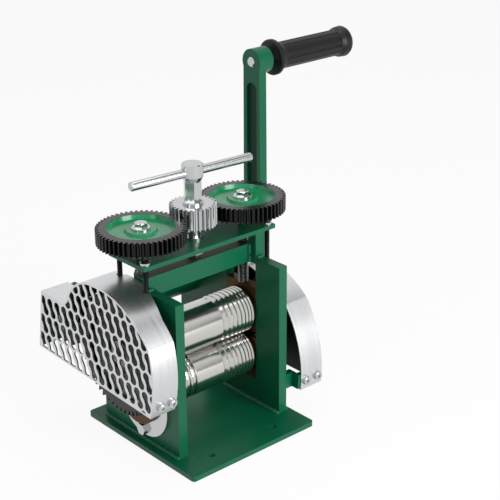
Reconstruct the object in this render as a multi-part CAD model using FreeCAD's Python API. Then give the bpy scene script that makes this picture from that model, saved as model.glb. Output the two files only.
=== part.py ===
"""Jewellers combination rolling mill, hand cranked, 110 mm rolls.

Millimetres, +Z up. X runs along the rolls (the crank is at +X), +Y points to
the back, and the origin lies on the underside of the base plate, below the
middle of the rolls. Every piece is its own solid in parts/NODE.step.
"""
import FreeCAD, Part
import math
import os

V = FreeCAD.Vector

# ---- driving dimensions ---------------------------------------------------
# base
base_length = 148.0
base_depth = 160.0
base_thickness = 5.0
base_shift_x = -2.0
base_shift_y = -6.0
base_corner = 3.0
base_hole_diameter = 6.5
base_hole_span_x = 76.0
base_hole_span_y = 124.0

# side plates and what joins them
plate_gap = 113.0
plate_thickness = 9.5
plate_front = -54.0
plate_rear = 58.5
plate_top = 158.0
plate_slope_start = 30.0
plate_rear_top = 150.0
window_width = 42.0
window_bottom = 30.0
weld_leg = 3.5
beam_bottom = 152.0
beam_height = 18.5
beam_depth = 25.0
beam_corner = 8.0
top_plate_past_studs = 5.5
top_plate_depth = 52.0
top_plate_thickness = 4.0
top_plate_above_beam = 14.0
prop_depth = 9.0

# studs that hold the top plate
stud_diameter = 5.0
stud_standoff = 5.5
stud_front_y = -20.5
stud_rear_y = 17.5
stud_lug_bottom = 138.0
stud_lug_height = 12.0
stud_lug_depth = 12.0
stud_lug_wall = 2.4
stud_head_diameter = 9.5
stud_head_height = 3.5
stud_head_edge = 1.0

# rolls
roll_length = 110.0
roll_diameter = 45.0
roll_rest_gap = 0.5
lower_axis_z = 54.0
journal_diameter = 24.0
gear_seat_diameter = 18.0
v_groove_count = 8
v_groove_widest = 5.4
v_groove_narrowest = 2.0
groove_land = 1.2
half_round_radii = (2.9, 2.7, 2.4, 2.1, 1.7)
half_round_land = 1.5
half_round_inner_x = -17.5
half_round_steps = 8
roll_chamfer = 1.0
key_width = 5.0
key_height = 5.0
key_depth = 2.5
end_bolt_diameter = 6.0
end_bolt_depth = 12.0
end_bolt_flats = 11.0
end_bolt_head = 5.3
end_washer_diameter = 25.0
end_washer_thickness = 1.8

# bearing blocks
block_top_above_axis = 27.5
block_gap = 6.0
lower_block_above_axis = 20.0
sleeve_wall = 2.5
spring_offset_y = 15.2
spring_pocket_diameter = 6.6
spring_pocket_depth = 9.0
spring_wire = 1.0
spring_turns = 6
thrust_washer_thickness = 1.2
thrust_washer_diameter = 38.0

# gears: equal long-tooth pair on the crank side, reduction on the other
sync_teeth = 13
sync_pressure_angle = 25.0
sync_backlash = 1.0
sync_width = 22.0
sync_standoff = 5.0
drive_module = 2.0
drive_teeth = 56
crank_pinion_teeth = 22
drive_backlash = 0.16
drive_width = 14.0
drive_standoff = 11.0
crank_pinion_width = 16.0
crank_axis_z = 106.0
drive_web_radius = 44.0
drive_web_recess = 3.5
drive_boss_wall = 8.0
gear_hub_wall = 4.0
shaft_end_recess = 4.5

# pressure screws and their gears
screw_module = 1.5
screw_gear_teeth = 52
centre_pinion_teeth = 27
screw_backlash = 0.14
screw_gear_width = 14.0
screw_gear_above_plate = 12.5
screw_diameter = 10.5
screw_seat_diameter = 9.0
screw_gear_web_radius = 30.0
screw_gear_web_recess = 4.0
screw_gear_boss_radius = 13.5
screw_gear_boss_rise = 2.2
centre_pinion_width = 20.0
centre_pinion_above_gears = 1.0
gear_washer_diameter = 17.0
gear_washer_thickness = 1.8
gear_bolt_flats = 11.0
gear_bolt_height = 4.2
gear_bolt_crown = 1.6
edge_break = 0.8

# adjusting shaft and tommy bar
shaft_diameter = 9.0
shaft_foot_above_beam = 0.5
shaft_nut_flats = 14.0
shaft_washer_diameter = 18.0
shaft_washer_thickness = 2.0
shaft_collar_wall = 1.5
hub_flats = 15.0
hub_neck_height = 21.0
hub_head_height = 17.0
hub_head_cone = 5.0
hub_head_diameter = 20.0
hub_collar_diameter = 19.0
hub_collar_height = 2.5
tommy_bar_diameter = 8.5
tommy_bar_length = 131.0
tommy_bar_above_neck = 9.0
shaft_below_bar = 2.0
tommy_bar_turn = -4.4

# crank
crank_shaft_diameter = 15.0
crank_bush_wall = 3.0
crank_bush_past_bracket = 10.0
crank_bush_past_plate = 7.0
crank_bush_end_length = 16.0
crank_spacer_wall = 4.0
crank_shaft_show = 0.5
bearing_tube_diameter = 27.0
bearing_tube_reach = 44.0
bracket_depth = 34.5
bracket_bottom = 66.0
bracket_top = 122.0
crank_arm_x = 140.5
crank_arm_length = 206.0
crank_arm_thickness = 9.2
crank_arm_width_low = 26.0
crank_arm_width_high = 23.2
crank_boss_radius = 13.0
crank_boss_length = 18.0
crank_hub_radius = 13.0
crank_hub_inward = 12.0
crank_pocket_depth = 3.0
crank_pocket_width = 15.0
crank_pocket_above_hub = 10.0
crank_pocket_below_pin = 21.0
spindle_diameter = 10.0
spindle_show = 1.2
spindle_collar_wall = 1.5
spindle_neck_step = 1.0
spindle_head_length = 3.0
spindle_head_cover = 5.0
grip_length = 103.5
grip_standoff = 7.25
grip_radius = 13.5
grip_flange_radius = 18.0
grip_flange_thickness = 4.0
grip_end_radius = 16.0
grip_end_length = 14.0
flute_count = 12
flute_radius = 1.3
flute_rise = 0.5
grip_blend = 8.0
grip_edge = 1.2

# gear covers: (y, z) of the arcs of each band line from its front foot over
# the top, then of the straight stretches down to the rear foot
sheet = 1.4
cover_outer_x = {"left": 104.0, "right": 103.5}
right_cover_near_x = 76.0
cover_arcs = {
    "left": (((-63.4, 66.0), (-68.9, 106.0), (-64.6, 132.2)), ((-64.6, 132.2), (-27.0, 161.2), (14.0, 167.4)),
             ((14.0, 167.4), (40.0, 160.0), (57.7, 137.4))),
    "right": (((-63.4, 27.5), (-59.8, 74.0), (-41.5, 110.8)), ((-41.5, 110.8), (-17.0, 126.1), (10.0, 134.4)),
              ((10.0, 134.4), (38.0, 124.0), (52.0, 100.0)))}
cover_corners = {"left": ((64.0, 131.8), (100.0, 133.2), (109.5, 72.5)), "right": ((52.0, 27.5),)}
left_near_edge = ((-77.0, -90.0), (-77.0, -50.0), (-67.5, -15.0), (-67.5, 58.0), (-74.0, 66.0), (-74.0, 120.0))
cover_run_on = 20.0
stud_notch_gap = 0.8
liner_thickness = 0.6
liner_gap = 0.3
slot_pitch_y = 11.4
slot_pitch_z = 19.8
slot_row_shift = 2.9
slot_lobe_radius = 4.1
slot_waist = 5.6
slot_lobe_y = 4.2
slot_lobe_z = 11.0
slot_margin = 1.8
slot_smallest_area = 6.0
lug_height = 15.0
lug_drop = 1.5
lug_depth = 7.0
lug_reach = 76.4
lug_web = 3.0
lug_tab = 5.0
left_strap_y = (85.0, 99.6)
left_strap_z = (116.0, 131.0)
left_strap_thickness = 3.0
left_tab_reach = 82.0
left_tab_y = 96.5
left_tab_height = 7.0
right_tab_reach = 84.0
right_tab_thickness = 3.0
right_tab_z = (88.0, 98.0)
cover_screw_x = {"left": (82.0, 94.0), "right": (82.2, 97.3)}
cover_screw_diameter = 4.0
cover_screw_length = 9.0
cover_screw_head = 9.0
cover_screw_head_height = 3.0
cover_screw_edge = 1.0
cover_screw_socket = 3.2
cover_screw_socket_depth = 1.6

# retaining plate over the left window
retainer_width = 70.0
retainer_middle_y = -6.0
retainer_thickness = 3.0
retainer_bottom = 12.0
retainer_top = 131.0
retainer_corner = 7.0
retainer_bolt_flats = 10.0
retainer_bolt_height = 4.2
retainer_bolt_diameter = 6.0
retainer_bolt_low = (-5.5, 18.0)
retainer_bolt_high_span = 50.0
retainer_bolt_high_z = 120.0
collar_diameter = 60.0
collar_thickness = 4.0
collar_to_roll_end = 1.7

# fits
running = 0.05
slide_fit = 0.1
free_gap = 0.3
hole_gap = 0.5
travel_up = 3.5
travel_down = 0.4

# ---- places worked out from them ------------------------------------------
inner_x = plate_gap / 2
outer_x = inner_x + plate_thickness
beam_top = beam_bottom + beam_height
stud_x = outer_x + stud_standoff
top_plate_half = stud_x + top_plate_past_studs
top_plate_under = beam_top + top_plate_above_beam
top_plate_top = top_plate_under + top_plate_thickness
roll_radius = roll_diameter / 2
roll_centres = roll_diameter + roll_rest_gap
upper_axis_z = lower_axis_z + roll_centres
roll_half = roll_length / 2
journal_radius = journal_diameter / 2
seat_radius = gear_seat_diameter / 2
screw_x = screw_module * (screw_gear_teeth + centre_pinion_teeth) / 2
screw_gear_under = top_plate_top + screw_gear_above_plate
screw_gear_top = screw_gear_under + screw_gear_width
centre_pinion_under = screw_gear_under + centre_pinion_above_gears
centre_pinion_top = centre_pinion_under + centre_pinion_width
shaft_foot_z = beam_top + shaft_foot_above_beam
hub_head_bottom = centre_pinion_top + hub_neck_height
hub_top = hub_head_bottom + hub_head_height
tommy_bar_z = hub_head_bottom + tommy_bar_above_neck
shaft_top_z = tommy_bar_z - tommy_bar_diameter / 2 - shaft_below_bar
upper_block_top = upper_axis_z + block_top_above_axis
lower_block_top = lower_axis_z + lower_block_above_axis
upper_block_bottom = lower_block_top + block_gap
drive_centres = drive_module * (drive_teeth + crank_pinion_teeth) / 2
crank_axis_y = drive_centres
sync_inner_x = outer_x + sync_standoff
sync_outer_x = sync_inner_x + sync_width
drive_inner_x = outer_x + drive_standoff
drive_outer_x = drive_inner_x + drive_width
upper_roll_end = drive_outer_x - shaft_end_recess
collar_start = outer_x + retainer_thickness + free_gap
lower_roll_end = collar_start + collar_thickness + collar_to_roll_end
block_middle_x = (inner_x + outer_x) / 2
crank_bush_radius = crank_shaft_diameter / 2 + crank_bush_wall
crank_pin_z = crank_axis_z + crank_arm_length
tube_end_x = outer_x + bearing_tube_reach
drive_middle_x = (drive_inner_x + drive_outer_x) / 2
pinion_span = (-drive_middle_x - crank_pinion_width / 2, -drive_middle_x + crank_pinion_width / 2)
arm_outer_x = crank_arm_x + crank_arm_thickness
crank_hub_x = crank_arm_x - crank_hub_inward
boss_end_x = crank_arm_x + crank_boss_length
grip_start_x = boss_end_x + grip_standoff
grip_end_x = grip_start_x + grip_length
spindle_head_x = grip_end_x - spindle_head_cover - spindle_head_length


# ---- small shape makers ----------------------------------------------------
def block(x, y, z):
    """Box from three (low, high) pairs."""
    size = V(x[1] - x[0], y[1] - y[0], z[1] - z[0])
    return Part.makeBox(size.x, size.y, size.z, V(x[0], y[0], z[0]))


def rod_x(x, radius, y, z):
    """Cylinder along X between x[0] and x[1]."""
    return Part.makeCylinder(radius, x[1] - x[0], V(x[0], y, z), V(1, 0, 0))


def rod_z(z, radius, x, y):
    return Part.makeCylinder(radius, z[1] - z[0], V(x, y, z[0]), V(0, 0, 1))


def hexagon_z(z, flats, x, y):
    """Hexagonal prism along Z, flats across."""
    corner = flats / math.sqrt(3)
    ring = [V(x + corner * math.cos(math.radians(60 * i)),
              y + corner * math.sin(math.radians(60 * i)), z[0]) for i in range(7)]
    return Part.Face(Part.makePolygon(ring)).extrude(V(0, 0, z[1] - z[0]))


def hexagon_x(x, flats, y, z):
    """Hexagonal prism along X."""
    corner = flats / math.sqrt(3)
    ring = [V(x[0], y + corner * math.cos(math.radians(60 * i)),
              z + corner * math.sin(math.radians(60 * i))) for i in range(7)]
    return Part.Face(Part.makePolygon(ring)).extrude(V(x[1] - x[0], 0, 0))


def lathe_x(profile, y, z):
    """Revolve (x, radius) points about the X line through (y, z)."""
    points = [V(px, 0, pr) for px, pr in profile]
    points = [V(profile[0][0], 0, 0)] + points + [V(profile[-1][0], 0, 0)]
    face = Part.Face(Part.makePolygon(points + [points[0]]))
    solid = face.revolve(V(0, 0, 0), V(1, 0, 0), 360)
    solid.translate(V(0, y, z))
    return solid


def lathe_z(profile, x, y):
    """Revolve (z, radius) points about the Z line through (x, y)."""
    points = [V(pr, 0, pz) for pz, pr in profile]
    points = [V(0, 0, profile[0][0])] + points + [V(0, 0, profile[-1][0])]
    face = Part.Face(Part.makePolygon(points + [points[0]]))
    solid = face.revolve(V(0, 0, 0), V(0, 0, 1), 360)
    solid.translate(V(x, y, 0))
    return solid


def thicken(face, x):
    """Plate between x[0] and x[1] from a face drawn in the YZ plane at X = 0."""
    return face.translated(V(x[0], 0, 0)).extrude(V(x[1] - x[0], 0, 0))


def plate_from(wires, x):
    """Sheet or plate between x[0] and x[1] from wires drawn in the YZ plane at X = 0."""
    return thicken(Part.Face(wires), x)


def span_x(side, near, far):
    """(low, high) along X of what lies between two distances on one side."""
    return tuple(sorted((side * near, side * far)))


def polar(radius, angle):
    return V(radius * math.cos(angle), radius * math.sin(angle), 0)


def involute(angle):
    return math.tan(angle) - angle


def gear_wire(teeth, module, backlash, pressure_angle=20.0, addendum=1.0, dedendum=1.25):
    """Outline of an involute spur gear in the XY plane, with a tooth centred on +X."""
    alpha = math.radians(pressure_angle)
    pitch_radius = module * teeth / 2
    base_radius = pitch_radius * math.cos(alpha)
    tip_radius = pitch_radius + addendum * module
    root_radius = pitch_radius - dedendum * module
    half_tooth = (math.pi * module / 2 - backlash / 2) / (2 * pitch_radius)
    start_radius = max(base_radius, root_radius)

    def flank_angle(radius):
        at = math.acos(min(1.0, base_radius / radius))
        return half_tooth + involute(alpha) - involute(at)

    middle_radius = (start_radius + tip_radius) / 2
    edges = []
    step = 2 * math.pi / teeth
    for i in range(teeth):
        centre = i * step
        low = flank_angle(start_radius)
        mid = flank_angle(middle_radius)
        high = flank_angle(tip_radius)
        right = [polar(start_radius, centre - low), polar(middle_radius, centre - mid),
                 polar(tip_radius, centre - high)]
        left = [polar(tip_radius, centre + high), polar(middle_radius, centre + mid),
                polar(start_radius, centre + low)]
        root_in = polar(root_radius, centre - low)
        root_out = polar(root_radius, centre + low)
        if start_radius > root_radius + 1e-6:
            edges.append(Part.makeLine(root_in, right[0]))
        edges.append(Part.Arc(*right).toShape())
        edges.append(Part.Arc(right[2], polar(tip_radius, centre), left[0]).toShape())
        edges.append(Part.Arc(*left).toShape())
        if start_radius > root_radius + 1e-6:
            edges.append(Part.makeLine(left[2], root_out))
        next_root = polar(root_radius, centre + step - low)
        edges.append(Part.Arc(root_out, polar(root_radius, centre + step / 2), next_root).toShape())
    return Part.Wire(edges)


def gear_x(wire, x, y, z, tooth_at):
    """Gear along X at (y, z). tooth_at is the angle of one tooth, from +Y towards +Z."""
    solid = Part.Face(wire).extrude(V(0, 0, x[1] - x[0]))
    solid.rotate(V(0, 0, 0), V(0, 0, 1), math.degrees(tooth_at))
    solid.Placement = FreeCAD.Placement(V(x[0], y, z), FreeCAD.Rotation(V(1, 1, 1), 120)).multiply(solid.Placement)
    return solid


def gear_z(wire, z, x, y, tooth_at):
    """Gear along Z at (x, y). tooth_at is the angle of one tooth from +X."""
    solid = Part.Face(wire).extrude(V(0, 0, z[1] - z[0]))
    solid.rotate(V(0, 0, 0), V(0, 0, 1), math.degrees(tooth_at))
    solid.translate(V(x, y, z[0]))
    return solid


def save(name, *solids):
    """Write one node: a single solid, or a group of separate ones."""
    shape = solids[0] if len(solids) == 1 else Part.makeCompound(list(solids))
    for solid in shape.Solids:
        if not solid.isValid() or solid.Volume <= 0:
            raise ValueError(name + " is not a sound solid")
    shape.exportStep("parts/" + name + ".step")


# ---- frame -----------------------------------------------------------------
def base_plate():
    """Flat steel base with four bench holes."""
    low_x = base_shift_x - base_length / 2
    low_y = base_shift_y - base_depth / 2
    plate = block((low_x, low_x + base_length), (low_y, low_y + base_depth), (0, base_thickness))
    upright = [e for e in plate.Edges if abs(e.tangentAt(e.FirstParameter).z) > 0.9]
    plate = plate.makeFillet(base_corner, upright)
    for side in (-1, 1):
        for end in (-1, 1):
            x = base_shift_x + side * base_hole_span_x / 2
            y = base_shift_y + end * base_hole_span_y / 2
            plate = plate.cut(rod_z((-1, base_thickness + 1), base_hole_diameter / 2, x, y))
    return plate


def side_plate(side):
    """Plate with a window for the bearing blocks; the lips above the window hold the crossbeam."""
    window = window_width / 2
    lip = beam_depth / 2
    points = [(plate_front, base_thickness), (plate_rear, base_thickness), (plate_rear, plate_rear_top),
              (plate_slope_start, plate_top), (lip, plate_top), (lip, beam_bottom), (window, beam_bottom),
              (window, window_bottom), (-window, window_bottom), (-window, beam_bottom), (-lip, beam_bottom),
              (-lip, plate_top), (plate_front, plate_top)]
    ring = [V(0, y, z) for y, z in points]
    return plate_from(Part.makePolygon(ring + [ring[0]]), span_x(side, inner_x, outer_x))


def foot_weld(side, outside):
    """Fillet weld between a side plate and the base."""
    face = (outer_x if outside else inner_x) * side
    away = side if outside else -side
    ring = [V(face, plate_front, base_thickness), V(face + away * weld_leg, plate_front, base_thickness),
            V(face, plate_front, base_thickness + weld_leg)]
    return Part.Face(Part.makePolygon(ring + [ring[0]])).extrude(V(0, plate_rear - plate_front, 0))


def crossbeam():
    """Thick bar welded between the plates' lips; the screws are threaded through it."""
    half = beam_depth / 2
    plan = [(-outer_x, -half), (outer_x, -half), (outer_x, half - beam_corner), (outer_x - beam_corner, half),
            (beam_corner - outer_x, half), (-outer_x, half - beam_corner)]
    ring = [V(x, y, beam_bottom) for x, y in plan]
    beam = Part.Face(Part.makePolygon(ring + [ring[0]])).extrude(V(0, 0, beam_height))
    for side in (-1, 1):
        beam = beam.cut(rod_z((beam_bottom - 1, beam_top + 1), screw_diameter / 2 + running, side * screw_x, 0))
    return beam


def top_plate():
    """Thin plate that steadies the adjusting shaft above the crossbeam."""
    plate = block((-top_plate_half, top_plate_half), (-top_plate_depth / 2, top_plate_depth / 2),
                  (top_plate_under, top_plate_top))
    span = (top_plate_under - 1, top_plate_top + 1)
    plate = plate.cut(rod_z(span, shaft_diameter / 2 + running, 0, 0))
    for x in (-screw_x, screw_x):
        plate = plate.cut(rod_z(span, screw_diameter / 2 + hole_gap, x, 0))
    for x, y in stud_places():
        plate = plate.cut(rod_z(span, stud_diameter / 2, x, y))
    return plate


def top_plate_prop():
    """Short flat on the right plate that props the top plate."""
    rear = -beam_depth / 2
    return block((inner_x, outer_x), (rear - prop_depth, rear), (plate_top, top_plate_under))


def stud_places():
    return [(side * stud_x, y) for side in (-1, 1) for y in (stud_front_y, stud_rear_y)]


def studs():
    low = stud_lug_bottom
    return [rod_z((low, top_plate_top), stud_diameter / 2, x, y) for x, y in stud_places()]


def stud_heads():
    """Round nuts that clamp the top plate on its studs."""
    low = top_plate_top
    high = low + stud_head_height
    radius = stud_head_diameter / 2
    profile = [(low, radius), (high - stud_head_edge, radius), (high, radius - stud_head_edge)]
    return [lathe_z(profile, x, y) for x, y in stud_places()]


def stud_lugs():
    """Lugs welded on the outer faces of the side plates; the studs are screwed into them."""
    lugs = []
    top = stud_lug_bottom + stud_lug_height
    for x, y in stud_places():
        far = abs(x) + stud_diameter / 2 + stud_lug_wall
        width = (y - stud_lug_depth / 2, y + stud_lug_depth / 2)
        lug = block(span_x(math.copysign(1, x), outer_x, far), width, (stud_lug_bottom, top))
        lugs.append(lug.cut(rod_z((stud_lug_bottom - 1, top + 1), stud_diameter / 2, x, y)))
    return lugs


# ---- rolls and their bearings ------------------------------------------------
def v_grooves():
    """(low x, high x, depth) of the square-wire grooves, widest inwards."""
    step = (v_groove_widest - v_groove_narrowest) / (v_groove_count - 1)
    widths = [v_groove_narrowest + i * step for i in range(v_groove_count)]
    x = roll_half - roll_chamfer - groove_land
    grooves = []
    for width in widths:
        grooves.append((x - width, x, width / 2))
        x -= width + groove_land
    return grooves[::-1]


def half_round_grooves():
    """(middle x, radius) of the half-round wire grooves, widest inwards, from the left."""
    x = half_round_inner_x
    grooves = []
    for radius in half_round_radii:
        grooves.append((x - radius, radius))
        x -= 2 * radius + half_round_land
    return grooves[::-1]


def roll_profile(left_end, right_end, half_round):
    """(x, radius) outline of a roll; each end is (x, seat radius, where the journal stops)."""
    profile = [(left_end[0], left_end[1]), (-left_end[2], left_end[1]), (-left_end[2], journal_radius),
               (-roll_half, journal_radius), (-roll_half, roll_radius - roll_chamfer),
               (-roll_half + roll_chamfer, roll_radius)]
    if half_round:
        for x, radius in half_round_grooves():
            for i in range(half_round_steps + 1):
                angle = math.pi * i / half_round_steps
                profile.append((x - radius * math.cos(angle), roll_radius - radius * math.sin(angle)))
    for low, high, depth in v_grooves():
        profile += [(low, roll_radius), ((low + high) / 2, roll_radius - depth), (high, roll_radius)]
    profile += [(roll_half - roll_chamfer, roll_radius), (roll_half, roll_radius - roll_chamfer),
                (roll_half, journal_radius)]
    profile += [(right_end[2], journal_radius), (right_end[2], right_end[1]), (right_end[0], right_end[1])]
    return profile


def keyway(x, axis_z):
    """Slot for a parallel key on top of a shaft seat."""
    return block(x, (-key_width / 2, key_width / 2),
                 (axis_z + seat_radius - key_depth, axis_z + seat_radius + 1))


def gear_key(x, axis_z):
    z = axis_z + seat_radius - key_depth
    return block(x, (-key_width / 2, key_width / 2), (z, z + key_height))


def bolt_hole(end_x, axis_z):
    """Blind hole for an end bolt in the end of a roll."""
    side = math.copysign(1, end_x)
    return rod_x(span_x(side, abs(end_x) - end_bolt_depth, abs(end_x) + 1), end_bolt_diameter / 2, 0, axis_z)


def lower_roll():
    """Grooved roll with half-round grooves too; its left end carries the thrust collar."""
    profile = roll_profile((-lower_roll_end, seat_radius, collar_start),
                           (sync_outer_x, seat_radius, outer_x + free_gap), True)
    roll = lathe_x(profile, 0, lower_axis_z)
    roll = roll.cut(keyway((sync_inner_x, sync_outer_x + 1), lower_axis_z))
    return roll.cut(bolt_hole(sync_outer_x, lower_axis_z))


def upper_roll():
    """Grooved roll whose left end carries the drive gear."""
    seat_start = outer_x + free_gap
    profile = roll_profile((-upper_roll_end, seat_radius, seat_start),
                           (sync_outer_x, seat_radius, seat_start), False)
    roll = lathe_x(profile, 0, upper_axis_z)
    roll = roll.cut(keyway((sync_inner_x, sync_outer_x + 1), upper_axis_z))
    roll = roll.cut(keyway((-upper_roll_end - 1, -drive_inner_x), upper_axis_z))
    return roll.cut(bolt_hole(-upper_roll_end, upper_axis_z)).cut(bolt_hole(sync_outer_x, upper_axis_z))


def end_bolt(end_x, axis_z):
    """Washer and hexagon bolt on the end of a shaft that ends at end_x."""
    side = math.copysign(1, end_x)
    face = abs(end_x)
    under_head = face + end_washer_thickness
    washer = rod_x(span_x(side, face, under_head), end_washer_diameter / 2, 0, axis_z)
    washer = washer.cut(rod_x(span_x(side, face - 1, under_head + 1), end_bolt_diameter / 2, 0, axis_z))
    head = hexagon_x(span_x(side, under_head, under_head + end_bolt_head), end_bolt_flats, 0, axis_z)
    shank = rod_x(span_x(side, face - end_bolt_depth, under_head), end_bolt_diameter / 2, 0, axis_z)
    return [washer, head.fuse(shank)]


def bearing_block(side, bottom, top, axis_z, bore):
    """Bronze block that fills the window, bored for a journal."""
    half = window_width / 2 - slide_fit
    x = span_x(side, inner_x, outer_x)
    body = block(x, (-half, half), (bottom, top))
    return body.cut(rod_x((x[0] - 1, x[1] + 1), bore, 0, axis_z))


def lower_block(side):
    body = bearing_block(side, window_bottom, lower_block_top, lower_axis_z, journal_radius + running)
    span = (lower_block_top - spring_pocket_depth, lower_block_top + 1)
    for y in (-spring_offset_y, spring_offset_y):
        body = body.cut(rod_z(span, spring_pocket_diameter / 2, side * block_middle_x, y))
    return body


def upper_block(side):
    bore = journal_radius + sleeve_wall + 2 * running
    body = bearing_block(side, upper_block_bottom, upper_block_top, upper_axis_z, bore)
    span = (upper_block_bottom - 1, upper_block_bottom + spring_pocket_depth)
    for y in (-spring_offset_y, spring_offset_y):
        body = body.cut(rod_z(span, spring_pocket_diameter / 2, side * block_middle_x, y))
    return body


def journal_sleeve(side):
    """Turning sleeve between an upper block and its journal."""
    span = span_x(side, inner_x, outer_x)
    sleeve = rod_x(span, journal_radius + sleeve_wall + running, 0, upper_axis_z)
    return sleeve.cut(rod_x((span[0] - 1, span[1] + 1), journal_radius + running, 0, upper_axis_z))


def lift_springs():
    """Coil springs that lift the upper blocks."""
    low = lower_block_top - spring_pocket_depth
    high = upper_block_bottom + spring_pocket_depth
    coil_radius = spring_pocket_diameter / 2 - spring_wire / 2 - slide_fit
    rise = high - low - spring_wire
    springs = []
    for side in (-1, 1):
        for end in (-1, 1):
            path = Part.makeHelix(rise / spring_turns, rise, coil_radius)
            ring = Part.Wire(Part.makeCircle(spring_wire / 2, V(coil_radius, 0, 0), V(0, 1, 0)))
            coil = Part.Wire(path.Edges).makePipeShell([ring], True, True)
            coil.translate(V(side * block_middle_x, end * spring_offset_y, low + spring_wire / 2))
            springs.append(coil)
    return springs


def thrust_washer(side, axis_z):
    """Bronze ring between a roll's end and its block."""
    span = span_x(side, inner_x - thrust_washer_thickness, inner_x)
    ring = rod_x(span, thrust_washer_diameter / 2, 0, axis_z)
    return ring.cut(rod_x((span[0] - 1, span[1] + 1), journal_radius + running, 0, axis_z))


# ---- gears on the rolls ------------------------------------------------------
def sync_gear(axis_z, tooth_at):
    """Long-tooth gear that keeps the rolls in step while they move apart."""
    module = roll_centres / sync_teeth
    wire = gear_wire(sync_teeth, module, sync_backlash, sync_pressure_angle)
    gear = gear_x(wire, (sync_inner_x, sync_outer_x), 0, axis_z, tooth_at)
    gear = gear.fuse(rod_x((outer_x + free_gap, sync_inner_x), seat_radius + gear_hub_wall, 0, axis_z))
    gear = gear.cut(rod_x((outer_x, sync_outer_x + 1), seat_radius, 0, axis_z))
    return gear.cut(gear_key((sync_inner_x, sync_outer_x + 1), axis_z))


def drive_gear():
    """Large gear on the left end of the upper roll, driven by the crank pinion."""
    wire = gear_wire(drive_teeth, drive_module, drive_backlash)
    towards = math.atan2(crank_axis_z - upper_axis_z, crank_axis_y)
    gear = gear_x(wire, (-drive_outer_x, -drive_inner_x), 0, upper_axis_z, towards + math.pi / drive_teeth)
    boss = seat_radius + drive_boss_wall
    for x in ((-drive_outer_x - 1, -drive_outer_x + drive_web_recess),
              (-drive_inner_x - drive_web_recess, -drive_inner_x + 1)):
        gear = gear.cut(rod_x(x, drive_web_radius, 0, upper_axis_z).cut(rod_x(x, boss, 0, upper_axis_z)))
    gear = gear.fuse(rod_x((-drive_inner_x, -outer_x - free_gap), seat_radius + gear_hub_wall, 0, upper_axis_z))
    gear = gear.cut(rod_x((-drive_outer_x - 1, -upper_roll_end), boss + 1, 0, upper_axis_z))
    gear = gear.cut(rod_x((-upper_roll_end - 1, -outer_x + 1), seat_radius, 0, upper_axis_z))
    return gear.cut(gear_key((-upper_roll_end - 1, -drive_inner_x), upper_axis_z))


def crank_pinion():
    """Small gear on the crank shaft, a little wider than the gear it drives."""
    wire = gear_wire(crank_pinion_teeth, drive_module, drive_backlash)
    towards = math.atan2(crank_axis_z - upper_axis_z, crank_axis_y) + math.pi
    gear = gear_x(wire, pinion_span, crank_axis_y, crank_axis_z, towards)
    bore = (pinion_span[0] - 1, pinion_span[1] + 1)
    return gear.cut(rod_x(bore, crank_shaft_diameter / 2, crank_axis_y, crank_axis_z))


# ---- retaining plate ---------------------------------------------------------
def retaining_plate():
    """Plated strap over the left window, round at its foot."""
    front = retainer_middle_y - retainer_width / 2
    rear = retainer_middle_y + retainer_width / 2
    low = retainer_bottom + retainer_width / 2
    top = retainer_top
    corner = retainer_corner
    cut = corner * (1 - math.sqrt(0.5))
    edges = [Part.makeLine(V(0, rear, low), V(0, rear, top - corner)),
             Part.Arc(V(0, rear, top - corner), V(0, rear - cut, top - cut), V(0, rear - corner, top)).toShape(),
             Part.makeLine(V(0, rear - corner, top), V(0, front + corner, top)),
             Part.Arc(V(0, front + corner, top), V(0, front + cut, top - cut), V(0, front, top - corner)).toShape(),
             Part.makeLine(V(0, front, top - corner), V(0, front, low)),
             Part.Arc(V(0, front, low), V(0, retainer_middle_y, retainer_bottom), V(0, rear, low)).toShape()]
    strap = plate_from(Part.Wire(edges), (-outer_x - retainer_thickness, -outer_x))
    through = (-outer_x - retainer_thickness - 1, -outer_x + 1)
    strap = strap.cut(rod_x(through, journal_radius + hole_gap, 0, lower_axis_z))
    reach = seat_radius + gear_hub_wall + hole_gap
    low_z = upper_axis_z - travel_down
    high_z = upper_axis_z + travel_up
    strap = strap.cut(rod_x(through, reach, 0, low_z)).cut(rod_x(through, reach, 0, high_z))
    strap = strap.cut(block(through, (-reach, reach), (low_z, high_z)))
    for y, z in retainer_bolt_places():
        strap = strap.cut(rod_x(through, retainer_bolt_diameter / 2, y, z))
    return strap


def retainer_bolt_places():
    half = retainer_bolt_high_span / 2
    high = [(retainer_middle_y + way * half, retainer_bolt_high_z) for way in (-1, 1)]
    return [retainer_bolt_low] + high


def retainer_bolts():
    bolts = []
    face = -outer_x - retainer_thickness
    for y, z in retainer_bolt_places():
        head = hexagon_x((face - retainer_bolt_height, face), retainer_bolt_flats, y, z)
        bolts.append(head.fuse(rod_x((face, -outer_x), retainer_bolt_diameter / 2, y, z)))
    return bolts


def thrust_collar():
    """Bronze collar on the left end of the lower roll."""
    span = (-collar_start - collar_thickness, -collar_start)
    ring = rod_x(span, collar_diameter / 2, 0, lower_axis_z)
    return ring.cut(rod_x((span[0] - 1, span[1] + 1), seat_radius, 0, lower_axis_z))


# ---- adjusting shaft, screws and top gears -------------------------------------
def pressure_screw(side):
    """Screw that bears on an upper block; its top is turned down for the gear."""
    x = side * screw_x
    boss_top = screw_gear_top - screw_gear_web_recess + screw_gear_boss_rise
    screw = rod_z((upper_block_top + running, screw_gear_under), screw_diameter / 2, x, 0)
    return screw.fuse(rod_z((screw_gear_under, boss_top), screw_seat_diameter / 2, x, 0))


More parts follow.
